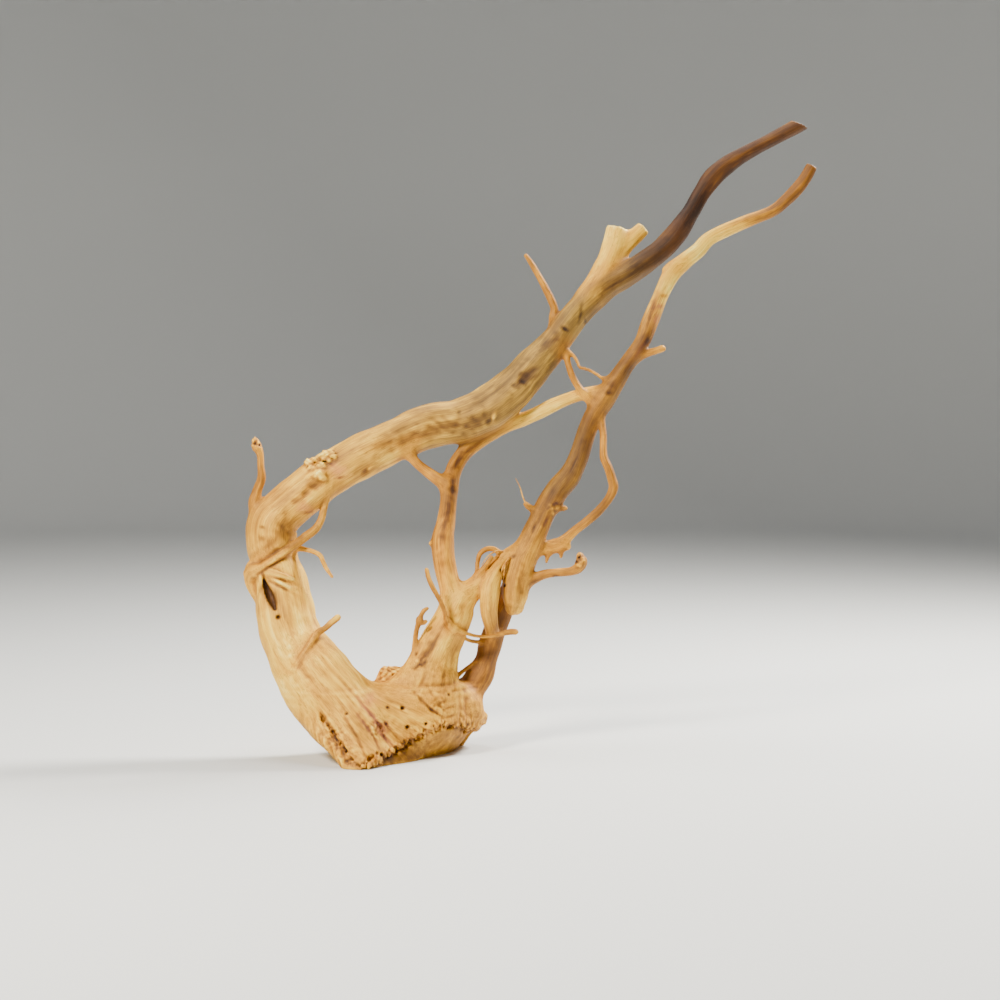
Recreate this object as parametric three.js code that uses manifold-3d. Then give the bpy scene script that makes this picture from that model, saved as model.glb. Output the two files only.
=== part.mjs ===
// A piece of pale aquarium driftwood: a chunky root crown that stands on its sawn foot,
// a thick limb that rises on the left and arches over to the right, a second long branch,
// the arms that carry it, and the twigs, spurs and rootlets that grew with them.
// It grew as one piece, so it is one solid. Millimetres, +Z up, seen from the front along +Y.
// The origin is the middle of the flat foot.

import * as THREE from "three";
import { mergeVertices } from "three/addons/utils/BufferGeometryUtils.js";
import Module from "manifold-3d";

const wasm = await Module();
wasm.setup();

// Driving sizes.
const eye = { across: 41, up: 293, distance: 1534 }; // where the front view is seen from
const foot = { across: -16, back: 67 }; // the middle of the foot, behind the toe
const depthShare = 0.92; // how thick a limb is from front to back, next to its width
const tipShare = 0.55; // the size of the last ring of a rounded tip
const ringGap = 1.4; // spacing of the rings along a limb, in half widths
const longestGap = 18;
const shortestGap = 4.6;

// Every place is drawn as the front view shows it: across and up in the plane of the toe,
// and back, the distance behind that plane. This carries a place along its line of sight.
function nearerBy(back) {
  return 1 + back / eye.distance;
}

function seen([across, up, back]) {
  const scale = nearerBy(back);
  return new THREE.Vector3(
    eye.across + (across - eye.across) * scale - foot.across,
    back - foot.back,
    eye.up + (up - eye.up) * scale,
  );
}

// The limbs and branches. Each row is across, up, back and half width.
const limbs = {
  // The left limb climbs out of the crown, bends at the knee and arches over to the right.
  trunk: [
    [-50, 36, 48, 26],
    [-65, 54, 55, 29.5],
    [-79, 70, 60, 28],
    [-93, 90, 68, 25],
    [-103, 110, 75, 22.5],
    [-107, 130, 82, 21.5],
    [-110, 150, 88, 20.5],
    [-114, 165, 92, 18],
    [-116.5, 180, 94, 19.5],
    [-115, 194, 96, 21],
    [-107, 204, 98, 19.5],
    [-95, 214, 100, 18.3],
    [-77, 228, 103, 18],
    [-50, 245, 106, 17.3],
    [-20, 260, 110, 16.6],
    [5, 270.5, 113, 16.3],
    [30, 275, 116, 16.4],
    [52, 284, 118, 16],
    [72, 299, 120, 16],
    [88, 317, 122, 14.2],
    [103, 334, 124, 12.4],
    [114, 349, 127, 11.8],
    [126, 363, 131, 11],
    [144, 378, 136, 10.3],
    [165, 391, 142, 9.5],
    [185, 405, 148, 9],
    [198, 418, 152, 8.4],
    [209, 434, 157, 6.8],
    [218, 450, 161, 6.6],
    [226, 462, 163, 7.2],
    [236, 471.5, 165, 7],
    [248, 479.5, 166, 6.2],
    [261, 486.5, 168, 5.4],
    [275, 493.7, 170, 5.3],
    [288, 500.6, 172, 6],
    [302, 508, 173, 6.4],
  ],
  // The second long branch. Its lower end is a blunt shoulder in front of the right arm.
  branch: [
    [73.5, 130, 93, 7.5],
    [74, 138, 92, 10],
    [76, 151, 94, 10.5],
    [80, 165, 96, 10.2],
    [85.5, 178, 98, 9.6],
    [92.5, 193, 101, 9],
    [98.5, 206, 103, 8.8],
    [107, 220, 105, 9],
    [116, 231, 107, 9],
    [122.5, 244, 109, 8],
    [127, 258, 111, 7.5],
    [131, 270, 112, 7.5],
    [136.5, 281, 113, 8.4],
    [144, 292, 113, 8.8],
    [151.5, 304, 113, 7.8],
    [160, 317, 114, 6.8],
    [168, 328, 115, 6.7],
    [174, 338, 116, 6.3],
    [178.5, 350, 118, 6.6],
    [184.5, 365, 120, 6],
    [190, 378, 122, 6.1],
    [196.5, 390, 124, 6.6],
    [206, 399, 126, 5.9],
    [216, 407, 128, 5.7],
    [226, 417, 130, 5.3],
    [250, 428, 134, 4.8],
    [273, 437, 137, 4.6],
    [283.5, 445, 138, 4.8],
    [292.5, 454, 139, 5],
    [299.3, 463, 140, 5],
    [304.5, 472.5, 140, 4.7],
  ],
  // The thick middle arm, which runs up behind the drop to the branch's shoulder.
  middle_arm: [
    [2, 50, 70, 26],
    [5, 69, 74, 23],
    [9, 85, 78, 19],
    [14, 98, 80, 17],
    [20, 110, 82, 15.3],
    [26, 122, 84, 14],
    [31, 133, 86, 12.6],
    [40, 142, 90, 9.6],
    [50, 150, 94, 8],
    [60, 159, 98, 7.6],
    [70, 168, 100, 7.5],
    [80, 174, 100, 7],
  ],
  // The right arm, from the crown's right end up behind the shoulder.
  right_arm: [
    [30, 45, 86, 13],
    [37.5, 61, 90, 11],
    [46.5, 75, 94.5, 10.8],
    [51.5, 88, 99, 8.6],
    [54, 98, 102, 9],
    [57, 108, 104, 9],
    [61, 118, 106, 8.8],
    [66, 130, 107, 8.8],
    [72, 145, 105, 8.5],
    [79, 160, 101, 8],
  ],
  // The slender branch that rises from the middle arm and bends right, under the trunk.
  riser: [
    [27, 128, 86, 8],
    [23.5, 144, 88, 9],
    [20.3, 158, 90, 8.9],
    [18.2, 172, 92, 9],
    [18, 183, 94, 8.9],
    [20.2, 195, 96, 7.8],
    [22, 208, 98, 7],
    [23, 220, 102, 7],
    [25, 232, 107, 6.5],
    [29, 242, 113, 6.3],
    [36, 251, 118, 6],
    [46, 258, 121, 5],
    [57, 265, 123, 4.8],
    [67, 270, 124, 4.5],
    [80, 275.5, 123, 5],
    [92, 281, 122, 5.2],
    [104, 287, 120, 5],
    [117, 292.5, 118, 4.6],
    [130, 296, 116, 5],
    [142, 297, 114, 6],
  ],
  // The short arm that ties the riser to the trunk.
  tie_arm: [
    [-10, 256, 108, 5],
    [-8.5, 249, 106, 4.2],
    [-2, 241.5, 105, 4],
    [6, 235, 104, 4.2],
    [13, 230, 102, 4.8],
    [21, 225, 101, 5.5],
  ],
  // The drop: a flat tongue of wood that hangs in front of the two arms.
  drop: [
    [68, 167, 97, 4],
    [61, 159, 90, 5.2],
    [56, 148, 85, 6.8],
    [54, 137, 82, 7.4],
    [53.5, 126, 83, 6.8],
    [55, 116, 88, 5.6],
    [57, 107, 97, 4.5],
  ],
  // The pale stub that forks upward from the trunk and divides in two.
  stub: [
    [132, 372, 134, 9],
    [139.5, 385, 139, 9],
    [146.5, 399, 143, 8.6],
    [150.5, 411, 147, 8.2],
    [153.5, 424, 150, 7.6],
  ],
  stub_prong: [
    [145, 393, 142, 7],
    [152, 403.5, 146, 6.8],
    [161, 412.5, 149, 6.2],
    [169.5, 420.5, 152, 5.6],
    [173.5, 424.5, 153, 5.2],
  ],
  // The raised sheet of torn grain that runs from the left limb down to the toe.
  buttress: [
    [-90, 98, 58, 8],
    [-80, 78, 50, 15],
    [-67, 54, 43, 19],
    [-55, 30, 32, 18],
    [-48, 12, 20, 13],
    [-46, 2, 12, 9],
  ],
};

// The twigs, spurs and knobs, drawn in the same way.
const twigs = {
  finger: [
    [-124, 198, 97, 7],
    [-128.5, 210, 95, 5.6],
    [-127, 220, 94, 3.9],
    [-123.5, 230, 93, 3.6],
    [-124, 240, 92, 3],
    [-124.5, 249, 92, 3],
    [-127, 255, 91, 4.2],
    [-128, 259, 91, 2.6],
  ],
  knee_twig: [
    [-101, 177, 92, 4],
    [-95, 175.5, 90, 2.8],
    [-90, 174.5, 88, 2.1],
    [-83, 172.5, 85, 2],
    [-78, 169.5, 83, 2.1],
    [-75.5, 164, 82, 2],
    [-73, 159, 81, 1.8],
    [-69, 153, 80, 1.4],
  ],
  limb_twig: [
    [-96, 86, 43, 1.6],
    [-92, 92, 43.8, 1.9],
    [-88, 97.5, 46, 2.2],
    [-83.5, 104, 50.5, 2.4],
    [-79.5, 109.5, 54.5, 2.8],
    [-74.5, 112.5, 56, 2.4],
    [-69.5, 117, 57, 2.6],
    [-64.5, 121, 57.5, 2.6],
  ],
  saddle_knob: [
    [-30, 62, 76, 6.5],
    [-29, 70, 76, 6.8],
    [-27.5, 76.5, 76, 5.6],
  ],
  saddle_knob_right: [
    [-21.5, 62, 77, 7],
    [-20.5, 71, 77, 6.8],
    [-20, 77.5, 77, 5.2],
  ],
  arm_twig: [
    [-1, 90, 74, 4.5],
    [-4, 97, 72, 2.6],
    [-3.8, 106, 71, 2.1],
    [-2.2, 114, 70, 2.1],
    [0, 121, 69, 1.8],
    [2.6, 126, 68, 1.8],
    [5.5, 128, 68, 1.5],
  ],
  crossing_twig_up: [
    [24, 111, 70, 3],
    [20.5, 119, 65, 2.2],
    [18.5, 127, 62, 1.9],
    [14.5, 136, 60, 2],
    [10, 144, 59, 2.1],
    [6.5, 152, 58, 2.1],
    [5, 158.5, 58, 1.9],
  ],
  crossing_twig_right: [
    [21, 118, 66, 2.2],
    [25, 113, 67, 1.9],
    [31, 110, 70, 1.6],
    [37, 108, 74, 1.5],
    [44, 106.2, 78, 1.5],
    [51, 105.8, 81, 1.5],
    [58, 106.6, 83, 1.7],
    [64, 108, 84, 2.2],
    [70, 109.5, 85, 2.7],
    [74.5, 109.5, 85, 2.6],
  ],
  right_twig: [
    [78, 147, 96, 7],
    [86, 150, 95, 4.9],
    [97, 154.5, 93, 3.9],
    [108, 156, 92, 3.6],
    [118, 157, 91, 3.7],
    [124, 160, 90, 4.3],
    [126, 165, 90, 4.8],
    [125, 169, 90, 3],
  ],
  loop: [
    [138, 283, 113, 5],
    [141.5, 274, 109, 3.2],
    [143, 264, 105, 2.8],
    [143, 254, 102, 2.8],
    [143.5, 246, 100, 3.1],
    [147, 238, 98, 3.2],
    [149.5, 230, 97, 3.5],
    [151, 222.5, 96, 3.7],
    [147, 213.5, 96, 3.4],
    [139, 204, 97, 3.4],
    [130, 196, 98, 3.3],
    [121, 189, 99, 3.3],
    [114, 182.5, 100, 4.1],
    [107, 177.5, 101, 5.1],
    [99, 176, 101, 4.9],
    [90, 173, 101, 6],
    [84, 172, 100, 7],
  ],
  loop_heel: [
    [106, 177, 101, 4.8],
    [111, 177, 100, 4.2],
    [115, 176.5, 100, 3],
  ],
  shoulder_spur: [
    [94, 201, 103, 5],
    [89, 205, 100, 2.9],
    [84.5, 208, 98, 2.3],
    [82.5, 210, 98, 1.9],
  ],
  back_spur: [
    [101, 205, 103, 4],
    [108, 206, 101, 2.2],
    [113.5, 206.5, 100, 1.9],
  ],
  straight_twig: [
    [38, 143, 90, 4],
    [42, 149, 89, 2.9],
    [46.5, 155.5, 89, 2.5],
    [51, 161.5, 89, 2.3],
    [55.5, 168, 90, 1.9],
  ],
  hooked_twig: [
    [43.5, 151, 92, 2.4],
    [44.5, 158, 94, 1.9],
    [45, 165, 95, 1.9],
    [47, 171, 96, 2.1],
    [52, 174.5, 97, 2.2],
    [57.5, 174.5, 97, 2.2],
    [62, 171.5, 97, 2.4],
    [67, 168, 97, 3.4],
    [72, 168, 98, 5],
  ],
  cross_twig: [
    [109, 331, 122, 4],
    [113.5, 326, 118, 2.7],
    [115.5, 319, 116, 2.5],
    [118.5, 310, 114, 2.7],
    [123, 302, 113, 2.9],
    [129, 294, 112, 3.1],
    [136, 287, 112, 4],
  ],
  cross_root: [
    [111, 330, 121, 2.4],
    [118, 327, 117, 1.5],
    [122, 322, 116, 1.3],
    [124.5, 316.5, 115, 1.3],
    [130.5, 314.8, 114, 1.3],
    [137, 311.5, 113, 1.3],
    [142, 308.3, 113, 1.5],
    [149, 306.5, 113, 2.6],
  ],
  end_spur: [
    [168, 325, 115, 5],
    [176, 327, 113, 3.3],
    [183, 329, 112, 2.7],
    [189, 331, 111, 2.6],
  ],
  top_twig: [
    [106, 344, 128, 6],
    [104, 355, 131, 3.6],
    [104.5, 362, 132, 3],
    [102, 369, 133, 3],
    [97, 379, 134, 2.8],
    [92, 388, 135, 2.5],
    [87, 396.5, 136, 2.3],
    [82.5, 403, 136, 1.7],
  ],
  gap_root_low: [
    [22, 70, 80, 3],
    [28, 74.5, 82, 1.8],
    [34, 79, 86, 1.7],
    [40, 83.5, 90, 1.8],
    [46, 86, 95, 3],
  ],
  gap_root_high: [
    [28, 109, 84, 3.4],
    [34, 105, 86, 1.8],
    [39, 102.5, 90, 1.7],
    [45, 101.5, 94, 1.8],
    [50, 101, 99, 3],
  ],
  // The flat root that leaves the trunk, wraps down over the knee and ends in a knuckle.
  wrap_root: [
    [-70, 226, 92, 4],
    [-72.5, 216, 92, 2.8],
    [-75, 206, 92, 2.8],
    [-77.5, 197, 91, 2.9],
    [-82, 190, 89, 3.3],
    [-90, 184, 85, 3.6],
    [-99, 177.5, 81, 3.9],
    [-108, 171, 77, 4.3],
    [-117, 164.5, 75, 4.6],
    [-125, 159, 78, 4.8],
    [-131, 156, 84, 5.4],
    [-132.5, 150, 88, 5],
    [-129.5, 141, 88, 4],
    [-126, 134, 87, 3],
  ],
  knuckle: [
    [-122, 163, 88, 8],
    [-130, 160, 86, 6.4],
    [-134, 156, 87, 4],
  ],
  // The rootlets that spread like fingers below the knuckle.
  rootlet_upper: [
    [-121, 158.5, 75, 2.6],
    [-114, 157, 70, 1.8],
    [-107, 154.5, 68.6, 1.6],
    [-100, 151.3, 70.5, 1.4],
  ],
  rootlet_lower: [
    [-121, 156, 75, 2.6],
    [-114.5, 152.5, 69.5, 1.9],
    [-107.5, 148.3, 67, 1.7],
    [-101.5, 144.2, 67.5, 1.4],
  ],
  rootlet_left: [
    [-123, 157, 76, 2.8],
    [-124.2, 150.5, 73, 2.1],
    [-125.5, 144.5, 72.4, 1.9],
    [-126.2, 139.5, 74, 1.4],
  ],
};

// What has been lost from the wood: the slit of a rotten branch and the pinhole under it.
const hollows = {
  slit: [
    [-122.3, 149.5, 62, 1.4],
    [-120, 143.5, 61, 2.8],
    [-117, 136.5, 60, 3.5],
    [-113.8, 128, 58, 1.5],
  ],
};

// The root crown in level slices: height, middle (across and back), half length, half width,
// and the turn of its long side from straight across.
const crownSlices = [
  [0, -16, 67, 72, 29, 57],
  [5, -16, 68, 74, 31, 53],
  [11, -16.5, 68.5, 75, 33, 47],
  [16, -18, 69, 77, 35, 40],
  [21, -20, 69.5, 79, 36, 33],
  [28, -22, 69, 79, 35.5, 26],
  [36, -26, 70, 77, 35.5, 20],
  [44, -28, 70.5, 75, 33, 16],
  [51, -29, 71, 70, 29, 13],
  [56, -30, 72, 62, 24, 11],
  [59, -30, 72, 50, 17, 10],
];
const crownSides = 36;
const crownEgg = 0.2; // how much wider the right end is than the toe
const tornLip = 2.6; // how far the torn edge stands out over the sawn face below it

// A closed skin over rings of equally many points, each end closed by a fan.
function skin(rings) {
  const sides = rings[0].length;
  const points = rings.flat();
  const faces = [];
  for (let ring = 0; ring + 1 < rings.length; ring++) {
    for (let side = 0; side < sides; side++) {
      const next = (side + 1) % sides;
      const [a, b] = [ring * sides + side, ring * sides + next];
      faces.push(a, b, b + sides, a, b + sides, a + sides);
    }
  }
  for (const [ring, outward] of [[0, -1], [rings.length - 1, 1]]) {
    const middle = new THREE.Vector3();
    for (const point of rings[ring]) middle.addScaledVector(point, 1 / sides);
    points.push(middle);
    for (let side = 0; side < sides; side++) {
      const [a, b] = [ring * sides + side, ring * sides + ((side + 1) % sides)];
      faces.push(points.length - 1, ...(outward > 0 ? [a, b] : [b, a]));
    }
  }
  const geometry = new THREE.BufferGeometry().setFromPoints(points);
  geometry.setIndex(faces);
  return geometry;
}

// A closed geometry as a solid that can be joined and cut.
function solid(geometry) {
  const merged = mergeVertices(new THREE.BufferGeometry()
    .setAttribute("position", geometry.getAttribute("position"))
    .setIndex(geometry.getIndex()));
  return new wasm.Manifold(new wasm.Mesh({
    numProp: 3,
    vertProperties: merged.attributes.position.array,
    triVerts: new Uint32Array(merged.index.array),
  }));
}

// The slow swelling and flattening of a grown limb: a share of its radius.
function unevenness(angle, along, seed) {
  return 1
    + 0.05 * Math.cos(2 * angle + along * 0.021 + seed)
    + 0.035 * Math.cos(3 * angle - along * 0.034 + 2.1 * seed)
    + 0.025 * Math.sin(along * 0.11 + 1.7 * seed);
}

// A grown limb: rings of the drawn half width, square to a smooth line through its places.
function limb(rows, sides, seed, tip) {
  const line = new THREE.CatmullRomCurve3(rows.map(seen), false, "catmullrom", 0.5);
  const girth = new THREE.CatmullRomCurve3(
    rows.map(([, , back, half]) => new THREE.Vector3(half * nearerBy(back), 0, 0)),
    false, "catmullrom", 0.5);
  const stretches = rows.length - 1;
  const rings = [];
  const side = new THREE.Vector3(0, 1, 0);
  let along = 0;
  let last = line.getPoint(0);
  for (let stretch = 0; stretch < stretches; stretch++) {
    const half = rows[stretch][3];
    const gap = THREE.MathUtils.clamp(half * ringGap, shortestGap, longestGap);
    const length = seen(rows[stretch]).distanceTo(seen(rows[stretch + 1]));
    const steps = Math.max(1, Math.round(length / gap));
    const isLast = stretch + 1 === stretches;
    for (let step = 0; step < steps + (isLast ? 1 : 0); step++) {
      const t = Math.min(1, (stretch + step / steps) / stretches);
      const middle = line.getPoint(t);
      const ahead = line.getTangent(t);
      along += middle.distanceTo(last);
      last = middle;
      side.addScaledVector(ahead, -side.dot(ahead)).normalize();
      const up = new THREE.Vector3().crossVectors(ahead, side);
      const isTip = isLast && step === steps && tip === "round";
      const radius = girth.getPoint(t).x * (isTip ? tipShare : 1);
      rings.push(Array.from({ length: sides }, (_, corner) => {
        const angle = (2 * Math.PI * corner) / sides;
        const reach = radius * unevenness(angle, along, seed);
        const point = middle.clone()
          .addScaledVector(side, reach * Math.cos(angle))
          .addScaledVector(up, reach * Math.sin(angle));
        point.y = middle.y + (point.y - middle.y) * depthShare;
        return point;
      }));
    }
  }
  return solid(skin(rings));
}

// The height of the torn edge on the crown's front, from the toe round to the right end.
function tornEdgeHeight(across) {
  const rise = THREE.MathUtils.smoothstep(across, -34, 34);
  const dip = THREE.MathUtils.smoothstep(across, 48, 66);
  return 3 + 19 * rise - 6 * dip;
}

// The root crown. Below its torn edge the sawn face is set back.
function crown() {
  const rings = crownSlices.map(([height, across, back, half, wide, turnDegrees], level) => {
    const turn = THREE.MathUtils.degToRad(turnDegrees);
    return Array.from({ length: crownSides }, (_, corner) => {
      const angle = (2 * Math.PI * corner) / crownSides;
      const lumps = 1
        + 0.03 * Math.sin(5 * angle + 0.7 * level)
        + 0.02 * Math.sin(9 * angle - 1.1 * level);
      const long = half * Math.cos(angle) * lumps;
      const side = wide * Math.sin(angle) * (1 + crownEgg * Math.cos(angle)) * lumps;
      const point = new THREE.Vector3(
        across + long * Math.cos(turn) - side * Math.sin(turn) - foot.across,
        back + long * Math.sin(turn) + side * Math.cos(turn) - foot.back,
        height);
      const below = THREE.MathUtils.smoothstep(tornEdgeHeight(point.x) - height, 0, 3);
      const facing = Math.max(0, -Math.sin(angle)) * below;
      point.x -= tornLip * facing * Math.sin(turn);
      point.y += tornLip * facing * Math.cos(turn);
      return point;
    });
  });
  return solid(skin(rings));
}

// The end of the arching limb was sawn on a slant.
function sawnOff(wood) {
  const size = 60;
  const cut = new THREE.BoxGeometry(size, size, size);
  const outward = new THREE.Vector3(0.43, 0, 0.9);
  const place = seen([293, 505.2, 172]).addScaledVector(outward, size / 2);
  cut.applyQuaternion(new THREE.Quaternion()
    .setFromUnitVectors(new THREE.Vector3(0, 0, 1), outward.clone().normalize()));
  cut.translate(place.x, place.y, place.z);
  return wood.subtract(solid(cut));
}

// All that grew below the ground line is sawn off level, which gives the flat foot.
function level(wood) {
  const size = 600;
  const ground = new THREE.BoxGeometry(size, size, size);
  ground.translate(0, 0, -size / 2);
  return wood.subtract(solid(ground));
}

// How many sides a limb's rings have, from its widest half width.
function sidesFor(rows) {
  const widest = Math.max(...rows.map(([, , , half]) => half));
  if (widest > 15) return 16;
  if (widest > 7.5) return 11;
  if (widest > 4.5) return 8;
  return 6;
}

function driftwood() {
  const arching = sawnOff(limb(limbs.trunk, sidesFor(limbs.trunk), 1, "sawn"));
  let wood = crown().add(arching);
  const others = Object.entries({ ...limbs, ...twigs }).filter(([name]) => name !== "trunk");
  others.forEach(([name, rows], order) => {
    const tip = name === "branch" ? "sawn" : "round";
    wood = wood.add(limb(rows, sidesFor(rows), order + 2, tip));
  });
  for (const rows of Object.values(hollows)) {
    wood = wood.subtract(limb(rows, 8, 5, "round"));
  }
  wood = level(wood);
  const [largest] = wood.decompose().sort((a, b) => b.volume() - a.volume());
  const mesh = largest.getMesh();
  const geometry = new THREE.BufferGeometry();
  geometry.setAttribute("position", new THREE.BufferAttribute(mesh.vertProperties, 3));
  geometry.setIndex(new THREE.BufferAttribute(mesh.triVerts, 1));
  geometry.computeVertexNormals();
  return geometry;
}

const paleWood = new THREE.MeshStandardMaterial({
  name: "pale_wood",
  color: new THREE.Color(0.72, 0.5, 0.28),
  roughness: 0.72,
  metalness: 0,
});

const group = new THREE.Group();
const wood = new THREE.Mesh(driftwood(), paleWood);
wood.name = "driftwood";
group.add(wood);

export default group;
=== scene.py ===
# %% [markdown]
# # A piece of mopani driftwood
# The real thing is one root crown with the limbs, arms and twigs that grew from it. The bark
# is gone, and water and sand have worn the wood smooth. So everything here serves two looks:
# a body without seams, in which each limb flows into the next, and grain that follows each
# limb round its bends.
#
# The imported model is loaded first. It is the fixed frame that the dressed wood has to fit.

# %% Open the frame
import math
import time
from collections import namedtuple

import bpy
import numpy as np
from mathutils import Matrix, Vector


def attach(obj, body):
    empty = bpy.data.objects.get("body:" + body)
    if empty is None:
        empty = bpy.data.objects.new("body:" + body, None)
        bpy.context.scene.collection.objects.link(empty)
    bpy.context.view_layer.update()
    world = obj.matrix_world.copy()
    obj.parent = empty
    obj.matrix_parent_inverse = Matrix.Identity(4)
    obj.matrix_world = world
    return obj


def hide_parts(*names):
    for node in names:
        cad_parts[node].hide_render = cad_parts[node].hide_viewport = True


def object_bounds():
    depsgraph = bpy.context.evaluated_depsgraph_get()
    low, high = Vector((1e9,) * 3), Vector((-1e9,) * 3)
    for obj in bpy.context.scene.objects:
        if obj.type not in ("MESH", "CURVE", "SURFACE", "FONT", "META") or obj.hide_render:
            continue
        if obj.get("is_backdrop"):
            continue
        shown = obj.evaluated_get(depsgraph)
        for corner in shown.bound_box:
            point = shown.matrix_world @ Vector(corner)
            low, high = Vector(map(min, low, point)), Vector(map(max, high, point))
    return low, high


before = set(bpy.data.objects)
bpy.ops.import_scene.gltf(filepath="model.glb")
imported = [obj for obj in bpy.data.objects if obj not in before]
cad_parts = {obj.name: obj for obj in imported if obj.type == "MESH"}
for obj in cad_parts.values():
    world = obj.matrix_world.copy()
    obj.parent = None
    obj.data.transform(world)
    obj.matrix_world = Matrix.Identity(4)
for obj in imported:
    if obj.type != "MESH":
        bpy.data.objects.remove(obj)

import openvdb
from mathutils import Vector

started = time.time()
cad_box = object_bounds()
MM = 0.001
print("frame:", [round(v, 3) for corner in cad_box for v in corner])

# %% [markdown]
# ## The drawing
# The wood was drawn as the front view shows it: across and up in the plane of the crown's
# toe, and back, the distance behind that plane. A place that lies further back looks smaller,
# so it is carried out along its line of sight. `placed` does that for many places at once,
# and `drawn` goes the other way, so that a mark can be put where the front view shows it.

# %% From the drawing to the frame
EYE_ACROSS, EYE_UP, EYE_DISTANCE = 41.0, 293.0, 1534.0
FOOT_ACROSS, FOOT_BACK = -16.0, 67.0


def placed(across, up, back):
    nearer = 1 + back / EYE_DISTANCE
    return np.stack([
        EYE_ACROSS + (across - EYE_ACROSS) * nearer - FOOT_ACROSS,
        back - FOOT_BACK,
        EYE_UP + (up - EYE_UP) * nearer,
    ], axis=-1)


def drawn(points):
    nearer = 1 + (points[..., 1] + FOOT_BACK) / EYE_DISTANCE
    across = EYE_ACROSS + (points[..., 0] + FOOT_ACROSS - EYE_ACROSS) / nearer
    up = EYE_UP + (points[..., 2] - EYE_UP) / nearer
    return across, up


# %% [markdown]
# ## The limbs
# Each limb is a short list of places with a half width: across, up, back, half width. The
# lists follow those in the part's own source, because both stand for the same wood. One
# table says what the lists can't: how softly a limb flows into its neighbour, and which of
# three grain families it belongs to. Most limbs that touch are in different families, which
# later lets the grain of one fade into the grain of the next.

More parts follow.
